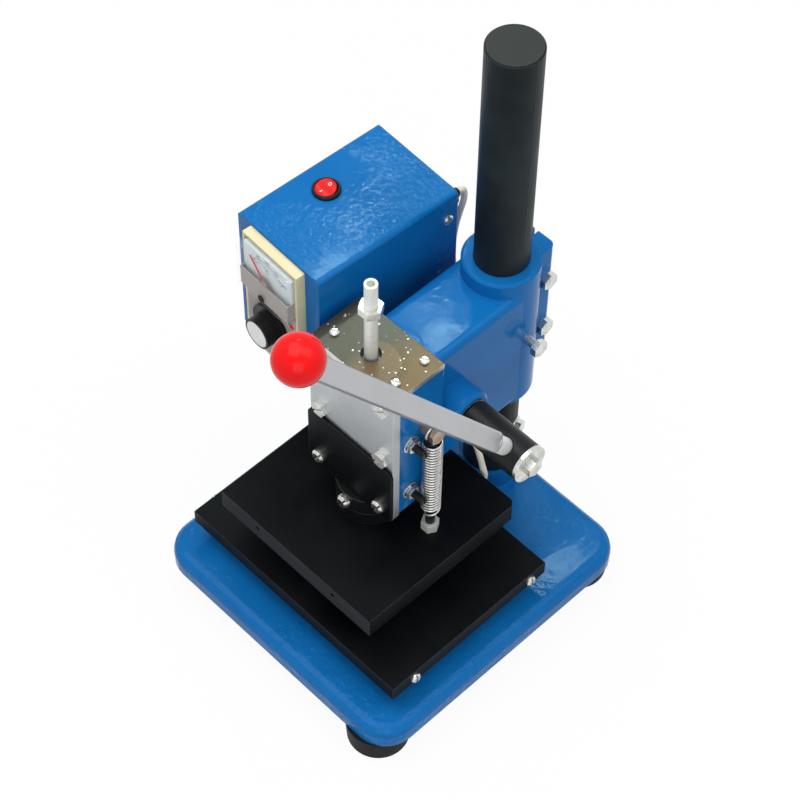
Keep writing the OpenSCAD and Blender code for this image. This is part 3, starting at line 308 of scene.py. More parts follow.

# %% [markdown]
# ## Bright steel
# The front plate and the lever are ground steel left bare. Long thin noise makes the grinding
# lines, and a thin film dulls them in clouds. The lever's turned neck is polished, and its bright
# reflection is painted in as a near white, less metallic colour: a painted highlight, whose share
# depends on the distance from the pinion's axis. The inside of the spring is painted dark, a
# painted shade where the coils hide it from the light. Paler edges are painted highlights.

# %% Bright steel
LEVER_PIVOT, LEVER_LEAN, NECK_END = (72, 44.375, 182), math.radians(54.8), 25.6
SPRING_AT = (41.0, 12.0)
BARE_METAL, NECK_HIGHLIGHT_METAL_LOSS = 0.92, 0.7
EDGE_HIGHLIGHT_STEEL, NECK_HIGHLIGHT_WHITE, GREASE_AND_SHADE = (0.85, 0.85, 0.84), (0.98, 0.98, 0.97), (0.012, 0.012, 0.012)


def lever_neck(steel):
    """One on the lever's neck, from the pinion's axis to the flat bar."""
    axis = Vector((0, -math.cos(LEVER_LEAN), math.sin(LEVER_LEAN)))
    end = at(*LEVER_PIVOT).dot(axis) + NECK_END * MM
    return steel.span(steel.vector("DOT_PRODUCT", steel.place, axis), end, end - 0.2 * MM)


def inner_coil_shade(steel):
    """One where the spring's wire faces its own axis."""
    offset = steel.vector("SUBTRACT", steel.place, at(*SPRING_AT, 0))
    outward = steel.vector("NORMALIZE", steel.vector("MULTIPLY", offset, LEVEL))
    return steel.span(steel.vector("DOT_PRODUCT", outward, steel.normal()), 0.1, -0.3)


def bright_steel(name, stretch, tone, gloss, film=0.0, dull=GREASE_AND_SHADE, neck_highlight=None, inner_shade=None):
    steel = Finish(name)
    line = steel.noise(1.0, roughness=0.6, stretch=stretch)
    patch = steel.span(steel.noise(30, detail=4.0, roughness=0.55), 0.42, 0.66) * film
    bare = steel.mix(steel.span(line, *NOISE), tuple(0.94 * c for c in tone), tone)
    colour = steel.mix(patch, bare, dull)
    metal = BARE_METAL
    # Painted shade: the inside of the spring's coils is mixed towards black.
    if inner_shade:
        colour = steel.mix(inner_shade(steel), colour, GREASE_AND_SHADE)
    # Painted highlight: the neck is mixed to near white and made less metallic.
    if neck_highlight:
        neck = neck_highlight(steel)
        colour = steel.mix(neck, colour, NECK_HIGHLIGHT_WHITE)
        metal = metal - neck * NECK_HIGHLIGHT_METAL_LOSS
    # Paler edges are a painted highlight.
    steel.set(Base_Color=steel.mix(steel.edge(0.0006) * 0.5, colour, EDGE_HIGHLIGHT_STEEL), Metallic=metal,
              Roughness=steel.span(line + patch, 0.3, 1.4, gloss, gloss + 0.2),
              Normal=steel.bump(line, 0.00003, 0.5, 0.0005))
    return steel


finishes["front steel"] = bright_steel("ground_steel", (1200, 1200, 60), (0.53, 0.56, 0.59),
                                       gloss=0.36, film=0.2, dull=(0.3, 0.3, 0.28))
finishes["lever steel"] = bright_steel("drawn_steel", (1500, 70, 50), (0.5, 0.51, 0.53), gloss=0.34,
                                       film=0.15, dull=(0.36, 0.36, 0.35), neck_highlight=lever_neck)
finishes["wire steel"] = bright_steel("spring_wire", (300, 300, 300), (0.55, 0.55, 0.53), gloss=0.2,
                                      inner_shade=inner_coil_shade)
dress(finishes["front steel"], "front_plate", "heater_cartridges")
dress(finishes["lever steel"], "lever_bar", "ram_bar", "pinion_gear")
print("bare steel on the front plate, the lever and the ram")

# %% [markdown]
# ## Stained top plate
# Oil has crept out of the rod's hole and dried as a pale pool with a ragged rim. Behind the rim the
# steel has gone brown, and on the other side it is still grey, so the colours follow the distance
# from the pool's middle and the way to the right. The plate's sides are freshly sheared and bright,
# and a few pale specks are filings. The rod's hole is painted black, a painted shade in the hole,
# and the edges are painted paler, a painted highlight.

# %% Stained top plate
POOL_AT, POOL_R = at(6, -1, 242), 16 * MM
ROD_AT, HOLE_R = at(0, 2.3, 242), 6 * MM
GREY_STEEL, PALER_GREY = (0.063, 0.053, 0.04), (0.077, 0.064, 0.048)
BROWN, RIM_BROWN, DRIED_OIL = (0.126, 0.078, 0.041), (0.07, 0.05, 0.025), (0.17, 0.121, 0.074)
FILING, SHEARED, EDGE_HIGHLIGHT_PLATE = (0.85, 0.85, 0.8), (0.7, 0.68, 0.6), (0.8, 0.78, 0.7)
BORE_SHADE_BLACK = (0.004, 0.004, 0.004)


def stained_plate(name):
    plate = Finish(name)
    cloud = plate.noise(60)
    way = plate.vector("SUBTRACT", plate.place, POOL_AT)
    right = plate.node("ShaderNodeSeparateXYZ", out="X", Vector=way)
    away = plate.vector("LENGTH", way) + (plate.noise(180, roughness=0.6) - 0.5) * (7 * MM)
    pool = plate.span(away, POOL_R, POOL_R - 0.6 * MM) * plate.span(right, -14 * MM, 2 * MM)
    rim = plate.span(away, POOL_R + 5 * MM, POOL_R) * plate.span(right, 2 * MM, 14 * MM)
    ragged = plate.span(plate.noise(500, detail=2.0), 0.45, 0.55)
    brown = plate.span(right + (cloud - 0.5) * (12 * MM), -6 * MM, 16 * MM)
    from_rod = plate.vector("SUBTRACT", plate.place, ROD_AT)
    round_rod = plate.vector("LENGTH", plate.vector("MULTIPLY", from_rod, LEVEL))
    # Painted shade: the wall of the rod's hole is mixed to black.
    bore = plate.span(round_rod, HOLE_R + 0.2 * MM, HOLE_R + 0.1 * MM)
    filings = plate.span(plate.noise(420, detail=1.0), 0.715, 0.73)
    colour = plate.mix(plate.span(cloud, *NOISE), GREY_STEEL, PALER_GREY)
    colour = plate.mix(brown, colour, BROWN)
    colour = plate.mix(rim * ragged, colour, RIM_BROWN)
    colour = plate.mix(pool, colour, DRIED_OIL)
    colour = plate.mix(filings * 0.7, colour, FILING)
    colour = plate.mix(plate.span(plate.facing("Z"), 0.4, 0.6), SHEARED, colour)
    # Paler edges are a painted highlight.
    colour = plate.mix(plate.edge(0.0005) * 0.4, colour, EDGE_HIGHLIGHT_PLATE)
    plate.set(Base_Color=plate.mix(bore, colour, BORE_SHADE_BLACK), Metallic=BARE_METAL,
              Roughness=plate.span(cloud + pool, 0.3, 1.5, 0.28, 0.42),
              Normal=plate.rounded(0.0005))
    return plate


finishes["top steel"] = stained_plate("stained_steel")
dress(finishes["top steel"], "top_plate")
print("the top plate is stained round the rod")

# %% [markdown]
# ## Plated fasteners and bronze
# The bolts are zinc plated: bright, slightly yellow-green, with a cloudy bloom. The stop rod's
# plating is duller, so it is less metallic. The stud that holds the spring and the hidden bushes
# are bronze.

# %% Zinc and bronze
EDGE_HIGHLIGHT_METAL = (0.92, 0.92, 0.9)


def plated(name, tone, dark, gloss, metal=0.95):
    plate = Finish(name)
    bloom = plate.span(plate.noise(190, detail=4.0, roughness=0.6), 0.35, 0.7)
    pits = plate.span(plate.noise(1500, detail=1.0), 0.62, 0.7)
    colour = plate.mix(bloom, tone, dark)
    # Paler edges are a painted highlight.
    plate.set(Base_Color=plate.mix(plate.edge(0.0004) * 0.6, colour, EDGE_HIGHLIGHT_METAL), Metallic=metal,
              Roughness=plate.span(bloom, 0.0, 1.0, gloss, gloss + 0.16),
              Normal=plate.bump(pits, 0.00006, 0.4, 0.0004))
    return plate


finishes["zinc"] = plated("zinc_plate", (0.72, 0.73, 0.7), (0.5, 0.51, 0.46), gloss=0.2)
finishes["dull zinc"] = plated("zinc_rod", (0.9, 0.92, 0.87), (0.78, 0.81, 0.75), gloss=0.4,
                               metal=0.4)
finishes["bronze"] = plated("bronze", (0.5, 0.37, 0.25), (0.28, 0.2, 0.13), gloss=0.26)
dress(finishes["zinc"], "foot_screws", "column_nut", "column_stop_bolt", "work_plate_bolts",
      "plate_side_screws", "clamp_bolts", "set_bolt", "top_plate_screws", "front_plate_bolts",
      "guard_screws", "gib_lock_nuts", "box_bolts", "box_screws", "collar_screw", "hub_washer",
      "hub_bolt", "stop_nut")
dress(finishes["dull zinc"], "stop_rod", "post_nut")
dress(finishes["bronze"], "gib_strip", "shaft_bushes", "spring_stud")
print("fasteners plated")

# %% [markdown]
# ## Rubber and plastics
# Moulded pieces have an even colour, so their finish lives in small things: a fine moulded grain,
# dust in the grain, and a little unevenness in the gloss. The ball is the exception: it is poured,
# glossy resin.

# %% Rubber and plastics
PALE_DUST = (0.5, 0.49, 0.46)
# Finish, material, tone, gloss, grain to the metre, depth of the grain and sheen
PLASTICS = [("rubber", "black_rubber", (0.006, 0.006, 0.006), 0.6, 700, 0.00012, 0.15),
            ("red", "red_resin", (0.93, 0.008, 0.009), 0.1, 60, 0.00001, 0.12),
            ("rocker red", "rocker_red", (0.8, 0.012, 0.014), 0.2, 300, 0.00003, 0.16),
            ("black plastic", "black_plastic", (0.006, 0.006, 0.007), 0.36, 800, 0.00004, 0.2),
            ("cream", "cream_plastic", (0.88, 0.78, 0.47), 0.4, 500, 0.00004, 0.3),
            ("grey", "grey_panel", (0.4, 0.38, 0.36), 0.46, 900, 0.00003, 0.3),
            ("white", "white_card", (0.82, 0.91, 0.94), 0.5, 900, 0.00001, 0.3),
            ("knob white", "white_cap", (0.97, 0.97, 0.96), 0.35, 500, 0.00002, 0.3),
            ("warm grey", "warm_grey_mask", (0.44, 0.4, 0.37), 0.42, 900, 0.00002, 0.3),
            ("pin grey", "pin_grey", (0.2, 0.18, 0.15), 0.42, 900, 0.00002, 0.3)]


def moulded(name, tone, gloss, grain, depth, sheen):
    plastic = Finish(name)
    fine = plastic.noise(grain, detail=2.0)
    cloud = plastic.noise(60)
    darker = tuple(0.93 * c for c in tone)
    paler = tuple(min(1, 1.25 * c + 0.02) for c in tone)
    colour = plastic.mix(plastic.span(cloud, *NOISE), darker, tone)
    colour = plastic.mix(plastic.span(fine, 0.62, 0.75) * 0.05, colour, PALE_DUST)
    # Paler edges are a painted highlight.
    plastic.set(Base_Color=plastic.mix(plastic.edge(0.0005) * 0.25, colour, paler),
                Roughness=plastic.span(cloud, *NOISE, gloss, gloss + 0.1),
                Specular_IOR_Level=sheen, Normal=plastic.bump(fine, depth, 0.6, 0.0006))
    return plastic


for key, *look in PLASTICS:
    finishes[key] = moulded(*look)
dress(finishes["rubber"], "rubber_feet")
dress(finishes["red"], "ball_knob")
dress(finishes["rocker red"], "rocker", "meter_needle")
dress(finishes["black plastic"], "controller_case", "temperature_knob", "switch_body",
      "lead_gland", "mains_gland")
dress(finishes["cream"], "controller_bezel")
dress(finishes["grey"], "controller_panel")
dress(finishes["white"], "dial_plate")
print("rubber and plastics:", len(PLASTICS))

# %% [markdown]
# ## Clear window
# The meter's window is thin clear plastic. A see-through shader with a little alpha and a sharp
# gloss keeps the dial readable, and it survives in formats that have no refraction.

# %% Clear window
CLEAR_TINT = (0.85, 0.9, 0.92)
clear = Finish("clear_plastic")
haze = clear.span(clear.noise(90), *NOISE, 0.02, 0.06)
clear.set(Base_Color=CLEAR_TINT, Alpha=haze + clear.edge(0.0006) * 0.3,
          Roughness=clear.span(clear.noise(60, detail=2.0), *NOISE, 0.04, 0.1))
dress(clear, "meter_window")
print("clear window over the meter")

# %% [markdown]
# ## Sweeping a tube
# Wire and cable are round bars bent along a path. A ring of points is carried along the path
# without twisting: each ring's first direction is the last one with its lean along the path taken
# out. A piece then gets its finish and the body that it rides; one that bends between two bodies
# gets none here.


# %% The sweep helper
def piece(mesh, finish, body):
    """An object with its mesh's name."""
    made = bpy.data.objects.new(mesh.name, mesh)
    bpy.context.collection.objects.link(made)
    made.data.materials.append(finish.material)
    if body:
        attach(made, body)
    return made


def as_mesh(name, shape):
    bmesh.ops.recalc_face_normals(shape, faces=shape.faces)
    mesh = bpy.data.meshes.new(name)
    shape.to_mesh(mesh)
    shape.free()
    return mesh


def cover(shape, rings, smooth_end=False):
    """Faces from each ring of points to the next, and one over each end."""
    sides = len(rings[0])
    for low, high in zip(rings, rings[1:]):
        for k in range(sides):
            n = (k + 1) % sides
            shape.faces.new((low[k], low[n], high[n], high[k])).smooth = True
    shape.faces.new(reversed(rings[0]))
    shape.faces.new(rings[-1]).smooth = smooth_end


def tube_mesh(name, path, radius, sides, first=(1, 0, 0)):
    shape = bmesh.new()
    across = Vector(first)
    angles = [2 * math.pi * k / sides for k in range(sides)]
    rings = []
    for i, point in enumerate(path):
        along = (path[min(i + 1, len(path) - 1)] - path[max(i - 1, 0)]).normalized()
        across = (across - across.dot(along) * along).normalized()
        other = along.cross(across)
        ring_of = [point + radius * (across * math.cos(a) + other * math.sin(a)) for a in angles]
        rings.append([shape.verts.new(spot) for spot in ring_of])
    cover(shape, rings)
    return as_mesh(name, shape)


print("helpers for meshes: piece, as_mesh, cover, tube_mesh")

# %% [markdown]
# ## Heater lead
# The lead carries current from the box to the heating plate. It is a stiff woven sleeve that
# leaves the box's back, loops down and comes under the arm. The route repeats the CAD solid's
# points, and a smooth curve is run through them. Its end goes down with the plate, but here the
# sleeve rides no body: it stays where it is drawn.

# %% Heater lead
LEAD_ROUTE = [(-43.54, 105.8, 257.2), (-43.44, 109.8, 257.2), (-43.24, 114.3, 257.2),
              (-43.04, 117.8, 256.2), (-42.84, 119.3, 252.2), (-43.04, 119.0, 245.2),
              (-44.44, 117.3, 234.2), (-45.94, 115.8, 220.2), (-46.44, 114.8, 200.2),
              (-42.94, 114.8, 178.2), (-33.1, 110.1, 157.5), (-29.6, 97.1, 141),
              (-25.1, 88.1, 125.5), (-14.1, 80.1, 120.5), (-7.3, 75, 118.8), (5.7, 71, 119.3),
              (18, 68, 119.3), (25.2, 66.8, 117), (29.2, 66.2, 111), (31.9, 66, 104),
              (34.2, 65.8, 98.4), (35, 65.4, 96.4), (35.6, 63.8, 95), (35.8, 61, 94.8),
              (35.8, 55, 94.8)]
LEAD_D, LEAD_SIDES, LEAD_STEPS = 4.0, 14, 6
CLEAN_CREAM, SOILED_CREAM = (0.85, 0.82, 0.7), (0.66, 0.6, 0.46)


def through(points, steps):
    """A smooth curve through points, with the steps between each pair."""
    out = []
    last = len(points) - 1
    for i in range(last):
        a, b, c, d = points[max(i - 1, 0)], points[i], points[i + 1], points[min(i + 2, last)]
        for s in range(steps):
            t = s / steps
            out.append(0.5 * (2 * b + t * (c - a) + t * t * (2 * a - 5 * b + 4 * c - d)
                              + t ** 3 * (3 * b - a - 3 * c + d)))
    return out + [points[last]]


sleeve = Finish("woven_sleeve")
weave = sleeve.node("ShaderNodeTexVoronoi", Vector=sleeve.place, Scale=1500.0)
soil = sleeve.span(sleeve.noise(70, detail=4.0), 0.4, 0.75)
sleeve.set(Base_Color=sleeve.mix(soil * 0.4, CLEAN_CREAM, SOILED_CREAM), Roughness=0.62,
           Normal=sleeve.bump(weave, 0.00025, 0.7, 0.0002))
lead_path = through([at(*p) for p in LEAD_ROUTE], LEAD_STEPS)
lead_length = sum((b - a).length for a, b in zip(lead_path, lead_path[1:]))
lead_mesh = tube_mesh("lead_sleeve", lead_path, LEAD_D / 2 * MM, LEAD_SIDES, (0, 0, 1))
lead = piece(lead_mesh, sleeve, None)
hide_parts("heater_lead")
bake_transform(lead)
print("heater lead, metres:", round(lead_length, 4))

# %% [markdown]
# ## Return spring
# The spring lifts the plate after a stamp. It is one wire: a part ring caught in the post's
# groove, a rising half turn, close coils, and a hook over the stud. The same steps make the CAD
# solid; here each curl has three times the rings, so it reads as round wire.

# %% Return spring
WIRE_D, COIL_D, TURNS, PITCH = 1.7, 10.8, 25, 2.6
RING_Z, STUD_Z = 118.0, 198.0
GROOVE_R, PASS_GAP = 2.2, 0.3
RING_R, RISE = GROOVE_R + WIRE_D / 2 + PASS_GAP, 6.0
RING_TURN, RING_STEPS, RISE_STEPS = 0.55, 14, 12
LIFT_TURN, LIFT_H = 0.15, 4.6
HOOK_STEP, HOOK_STEPS = 7.5, 28
RINGS_IN_TURN, WIRE_SIDES = 24, 10


def round_axis(curl, radius, z):
    """A point of the spring after so many turns."""
    a = math.radians(90 + 360 * (curl - TURNS - LIFT_TURN))
    return at(SPRING_AT[0] + radius * math.cos(a), SPRING_AT[1] + radius * math.sin(a), z)


def spring_path(rings):
    coil_r = COIL_D / 2
    base = RING_Z + RISE
    top = base + PITCH * TURNS
    path = [round_axis(-0.5 - RING_TURN * (1 - i / RING_STEPS), RING_R, RING_Z)
            for i in range(RING_STEPS)]
    for s in (i / RISE_STEPS for i in range(RISE_STEPS)):
        radius = RING_R + (coil_r - RING_R) * min(1, 1.5 * s)
        path.append(round_axis(-0.5 * (1 - s), radius, RING_Z + RISE * s))
    path += [round_axis(i / rings, coil_r, base + PITCH * i / rings)
             for i in range(TURNS * rings + 1)]
    path += [round_axis(TURNS + LIFT_TURN * s, coil_r, top + LIFT_H * s * s)
             for s in (0.25, 0.5, 0.75, 1.0)]
    path += [at(SPRING_AT[0], SPRING_AT[1] + coil_r * math.cos(a), STUD_Z + coil_r * math.sin(a))
             for a in (math.radians(HOOK_STEP * k) for k in range(HOOK_STEPS))]
    return path


coil = spring_path(RINGS_IN_TURN)
spring_mesh = tube_mesh("spring_wire", coil, WIRE_D / 2 * MM, WIRE_SIDES)
spring = piece(spring_mesh, finishes["wire steel"], None)
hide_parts("return_spring")
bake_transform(spring)
print("spring points:", len(coil))

# %% [markdown]
# ## Thin flat pieces
# Print, washers and caps are thin sheets cut to an outline. One helper takes outlines in two
# measures and a rule that places them, and joins the outlines that share an edge. Each gets a
# real thickness, so print stands on its card and never flickers with it. Text is turned into
# outlines too, which keeps the digits sharp.

# %% The flat piece helper
CIRCLE_STEPS = 40


def flat_mesh(name, outlines, place, back, front):
    shape = bmesh.new()
    corners = {}
    edges = {}

    def corner(point, depth):
        key = (round(point[0], 4), round(point[1], 4), depth)
        if key not in corners:
            corners[key] = shape.verts.new(place(*key))
        return corners[key]

    for outline in outlines:
        shape.faces.new([corner(p, front) for p in outline])
        shape.faces.new([corner(p, back) for p in reversed(outline)])
        for a, b in zip(outline, outline[1:] + outline[:1]):
            ends = frozenset((corner(a, back), corner(b, back)))
            edges[ends] = None if ends in edges else (a, b)
    for pair in edges.values():
        if pair:
            a, b = pair
            shape.faces.new((corner(a, back), corner(b, back), corner(b, front), corner(a, front)))
    return as_mesh(name, shape)


def turned(u, v, radius, angle):
    """The point at an angle, in degrees, on a circle round u, v."""
    a = math.radians(angle)
    return (u + radius * math.cos(a), v + radius * math.sin(a))


def disc(u, v, radius):
    return [[turned(u, v, radius, 360 * k / CIRCLE_STEPS) for k in range(CIRCLE_STEPS)]]


def ring(u, v, inner, outer, first=0.0, last=360.0, steps=CIRCLE_STEPS):
    angles = [first + (last - first) * k / steps for k in range(steps + 1)]
    return [[turned(u, v, inner, a), turned(u, v, outer, a),
             turned(u, v, outer, b), turned(u, v, inner, b)] for a, b in zip(angles, angles[1:])]


def oblong(x, y):
    return [(x[0], y[0]), (x[1], y[0]), (x[1], y[1]), (x[0], y[1])]


def bar(u, v, length, width, angle):
    """A short stroke with its middle at u, v."""
    (a, b), (c, d) = (turned(u, v, length / 2, angle + half) for half in (180, 0))
    x, y = turned(0, 0, width / 2, angle + 90)
    return [[(a - x, b - y), (c - x, d - y), (c + x, d + y), (a + x, b + y)]]


def number(text, size, u, v, lean=0.0):
    letters = bpy.data.curves.new("number", "FONT")
    letters.body = text
    letters.size = size
    letters.align_x = "CENTER"
    letters.align_y = "CENTER"
    holder = bpy.data.objects.new("number", letters)
    mesh = bpy.data.meshes.new_from_object(holder)
    flat = Matrix.Rotation(math.radians(lean), 2)
    spots = [flat @ Vector(corner.co[:2]) + Vector((u, v)) for corner in mesh.vertices]
    return [[tuple(spots[k]) for k in face.vertices] for face in mesh.polygons]


print("helpers for flat pieces: flat_mesh, disc, ring, oblong, bar, number")

# %% [markdown]
# ## The control box's own directions
# The box is bolted to the arm with a slight turn, so its front isn't square to the machine.
# `in_box` counts millimetres from its lower front right corner, and `on_front` draws on its front
# with depth towards the viewer. The ink for its print is a little worn.

# %% Box directions and ink
YAW = math.radians(-3)
BOX_CORNER = (-42.0, 1.6, 167.2)
METER_X, DIAL_Y, PANEL_Y, WINDOW_Y = -36.0, -8.2, -6.5, -12.7
INK_T = 0.06


def in_box(x, y, z):
    return at(BOX_CORNER[0] + x * math.cos(YAW) - y * math.sin(YAW),
              BOX_CORNER[1] + x * math.sin(YAW) + y * math.cos(YAW), BOX_CORNER[2] + z)


def on_front(face):
    return lambda u, v, depth: in_box(u, face - depth, v)


def ink(name, tone):
    finish = Finish(name)
    wear = finish.span(finish.noise(1100, detail=2.0), 0.4, 0.75)
    worn = tuple(0.6 * c + 0.3 for c in tone)
    finish.set(Base_Color=finish.mix(wear * 0.35, tone, worn), Roughness=0.55)
    return finish


finishes["grey ink"] = ink("grey_ink", (0.11, 0.12, 0.14))
finishes["white ink"] = ink("white_ink", (0.86, 0.86, 0.84))
print("box corner at", [round(v, 4) for v in in_box(0, 0, 0)])

# %% [markdown]
# ## Dial print
# The meter shows the plate's heat. Its card has a double arc, ticks and plain numbers, centred on
# the needle's pin. A printed card could be a picture; here each stroke is a sliver of ink, so it
# stays crisp at any size.

# %% Dial print
PIN_Z = 72.2
ARCS, ARC_ENDS = ((15.4, 15.65), (18.2, 18.5)), (38, 142)
TICKS, FIRST_LEAN, LEAN_STEP, TICKS_TO_NUMBER = 21, 140, 5, 5
# Radius of the middle, length and width
LONG_TICK, SHORT_TICK = (17.2, 2.4, 0.45), (17.6, 1.4, 0.25)
NUMBER_R, NUMBER_SIZE, UNIT_Z, UNIT_SIZE = 20.0, 2.6, 84.2, 4.6

strokes = []
for inner, outer in ARCS:
    strokes += ring(METER_X, PIN_Z, inner, outer, *ARC_ENDS)
for k in range(TICKS):
    lean = FIRST_LEAN - LEAN_STEP * k
    long = k % TICKS_TO_NUMBER == 0
    radius, length, width = LONG_TICK if long else SHORT_TICK
    strokes += bar(*turned(METER_X, PIN_Z, radius, lean), length, width, lean)
    if long:
        heat = str(100 * (k // TICKS_TO_NUMBER))
        strokes += number(heat, NUMBER_SIZE, *turned(METER_X, PIN_Z, NUMBER_R, lean), lean - 90)
strokes += number("C", UNIT_SIZE, METER_X, UNIT_Z) + ring(METER_X - 2.4, 85.8, 0.35, 0.6)
piece(flat_mesh("dial_print", strokes, on_front(DIAL_Y), 0.0, INK_T), finishes["grey ink"], "head")
print("dial strokes:", len(strokes))

# %% [markdown]
# ## Meter band and zero screw
# Behind the window's lower half a grey band, folded back at both ends, hides the movement. A round
# cap over the needle's pin looks out above it, and on the cap lies the little copper coil that
# balances the needle. The black screw on the window sets the needle to zero.

# %% Meter band and zero screw
LEFT, RIGHT, BAND_Z = (-57.3, -56.6), (-15.4, -14.7), (59.0, 74.0)
FOLD = (WINDOW_Y + 1.15, WINDOW_Y + 1.9, PANEL_Y + 0.1)
CAP_Z, CAP_R = 73.0, 5.4
HAIR_Z, HAIR_STEPS, HAIR_R = 75.9, 55, 0.16
ZERO_AT, ZERO_R, SEAT_R = (-37.4, 62.2), 2.1, (2.15, 2.7)

band = [oblong(x, y) for x in (LEFT, RIGHT) for y in (FOLD[:2], FOLD[1:])]
band += [oblong((LEFT[1], RIGHT[0]), FOLD[:2])]
piece(flat_mesh("meter_mask", band, in_box, *BAND_Z), finishes["warm grey"], "head")
cap = disc(METER_X, CAP_Z, CAP_R)
piece(flat_mesh("pin_cap", cap, on_front(WINDOW_Y), -2.25, -1.75), finishes["pin grey"], "head")
curl = [in_box(METER_X + r * math.cos(a), WINDOW_Y + 1.6, HAIR_Z + 0.9 * r * math.sin(a))
        for a, r in ((math.radians(20 * k), 0.8 + 0.022 * k) for k in range(HAIR_STEPS))]
piece(tube_mesh("hair_coil", curl, HAIR_R * MM, 6), finishes["bronze"], "head")
halves = [[turned(*ZERO_AT, ZERO_R, a) for a in range(lo, lo + 141, 10)] for lo in (20, 200)]
piece(flat_mesh("zero_screw", halves, on_front(WINDOW_Y), -0.05, 0.7), finishes["black plastic"],
      "head")
seat = ring(*ZERO_AT, *SEAT_R)
piece(flat_mesh("zero_screw_seat", seat, on_front(WINDOW_Y), -0.05, 0.35),
      finishes["black plastic"], "head")
print("meter mask, cap, coil and zero screw")

# %% [markdown]
# ## Knob, scale and lamp
# The temperature knob is black with a white cap pressed into its face. Round it the panel has dark
# ticks, and a red lamp under the meter's corner glows when the plate is heating. The cap turns with
# the knob. Cap and lamp are low domes, made of rings as a tube is.

# %% Knob, scale and lamp
KNOB_Z, KNOB_FACE, KNOB_CAP_R = 35.5, -18.5, 8.9
SCALE_TICKS, SCALE_FIRST, SCALE_STEP, SCALE_R, DIGIT_R = 11, 225, 27, 16.6, 19.6
LAMP_AT, LAMP_R, LAMP_RING = (-17.0, 51.0), 1.9, (1.95, 2.5)
DOME_STEP, ROUND_STEP = 15, 10


def button_mesh(name, u, v, face, radius, rise, rim):
    """A round cap with a softly domed front."""
    shape = bmesh.new()
    place = on_front(face)
    dome = [math.radians(a) for a in range(DOME_STEP, 90, DOME_STEP)]
    rows = [(radius, 0.0), (radius, rim)]
    rows += [(radius * math.cos(a), rim + rise * math.sin(a)) for a in dome]
    rings = [[shape.verts.new(place(*turned(u, v, r, a), d)) for a in range(0, 360, ROUND_STEP)]
             for r, d in rows]
    cover(shape, rings, smooth_end=True)
    return as_mesh(name, shape)


ticks = []
for k in range(SCALE_TICKS):
    lean = SCALE_FIRST - SCALE_STEP * k
    length, width = (2.4, 0.55) if k % 5 == 0 else (1.7, 0.35)
    ticks += bar(*turned(METER_X, KNOB_Z, SCALE_R, lean), length, width, lean)
for text, lean in (("0", 225), ("1", 171), ("3", 9), ("4", -45)):
    ticks += number(text, 2.8, *turned(METER_X, KNOB_Z, DIGIT_R, lean))
piece(flat_mesh("panel_scale", ticks, on_front(PANEL_Y), 0.0, INK_T), finishes["grey ink"], "head")
piece(button_mesh("knob_cap", METER_X, KNOB_Z, KNOB_FACE, KNOB_CAP_R, rise=0.35, rim=0.15),
      finishes["knob white"], "knob")
piece(button_mesh("heat_lamp", *LAMP_AT, PANEL_Y, LAMP_R, rise=1.0, rim=0.3),
      finishes["rocker red"], "head")
bush = ring(*LAMP_AT, *LAMP_RING)
piece(flat_mesh("lamp_ring", bush, on_front(PANEL_Y), 0.0, 0.4), finishes["zinc"], "head")
print("panel strokes:", len(ticks))

# %% [markdown]
# ## Switch marks
# The rocker's dished face has a white dash and a ring, for on and off. They follow its hollow, so
# each point takes its height from the same arc that shapes the rocker, and they tilt with it.

# %% Switch marks
ROCKER_AT, ROCKER_TILT = (-51, 49, 99), math.radians(8)
HOLLOW_Z, HOLLOW_R = 26, 22.6
DASH_X, DASH_FROM, DASH_STEP, DASH_STEPS = (-0.25, 0.25), -4.4, 0.18, 10
OFF_RING, OFF_STEPS = (0, 3.4, 0.75, 1.1), 24


def on_rocker(u, v, depth):
    rise = HOLLOW_Z - math.sqrt(HOLLOW_R ** 2 - v ** 2) + depth
    y = v * math.cos(ROCKER_TILT) - rise * math.sin(ROCKER_TILT)
    z = v * math.sin(ROCKER_TILT) + rise * math.cos(ROCKER_TILT)
    return in_box(ROCKER_AT[0] + u, ROCKER_AT[1] + y, ROCKER_AT[2] + z)


levels = [DASH_FROM + DASH_STEP * k for k in range(DASH_STEPS + 1)]
marks = [oblong(DASH_X, pair) for pair in zip(levels, levels[1:])]
marks += ring(*OFF_RING, steps=OFF_STEPS)
piece(flat_mesh("rocker_marks", marks, on_rocker, -0.02, INK_T), finishes["white ink"],
      "switch_rocker")
print("switch mark strokes:", len(marks))

# %% [markdown]
# ## Washers
# Thin washers show round the nuts on the slide's cheek. They are rings cut from sheet, a little
# larger than the nut, and lie flat on the paint.

# %% Washers
CHEEK_X, GIB_Y, GIB_Z = 33.5, 1.5, (143.523, 189.49)
WASHER_R, WASHER_T = (4.75, 5.9), 0.9


def on_right(face):
    return lambda u, v, depth: at(face + depth, u, v)


washers = [quad for z in GIB_Z for quad in ring(GIB_Y, z, *WASHER_R)]
piece(flat_mesh("gib_washers", washers, on_right(CHEEK_X), 0.0, WASHER_T), finishes["zinc"], "head")
print("washers:", len(GIB_Z))

# %% [markdown]
# ## Studio
# The photograph was taken on white with soft light from above. The floor and the sky show the
# camera plain white; for the light that falls on the machine they stay low, so that the lamps
# shape it and colours render as written. The floor keeps some of its shading, and so the
# machine's shadow.

# %% Sky and floor
SKY_LIGHT, SKY_SEEN = 0.32, 0.68
PAPER_GREY, PAPER_ROUGHNESS = (0.6, 0.6, 0.6, 1), 0.9
PAPER_GLOW, GLOW_SHARE = 1.04, 0.9
FLOOR_HALF, FLOOR_Z = 8, -0.0001

scene = bpy.context.scene
scene.view_settings.view_transform = "Standard"


def seen(tree):
    """One where the camera, a mirror or a clear piece looks at the surface."""
    rays = [add_node(tree, "ShaderNodeLightPath", out=f"Is {kind} Ray")
            for kind in ("Camera", "Glossy", "Transmission")]
    return rays[0].most(rays[1]).most(rays[2])


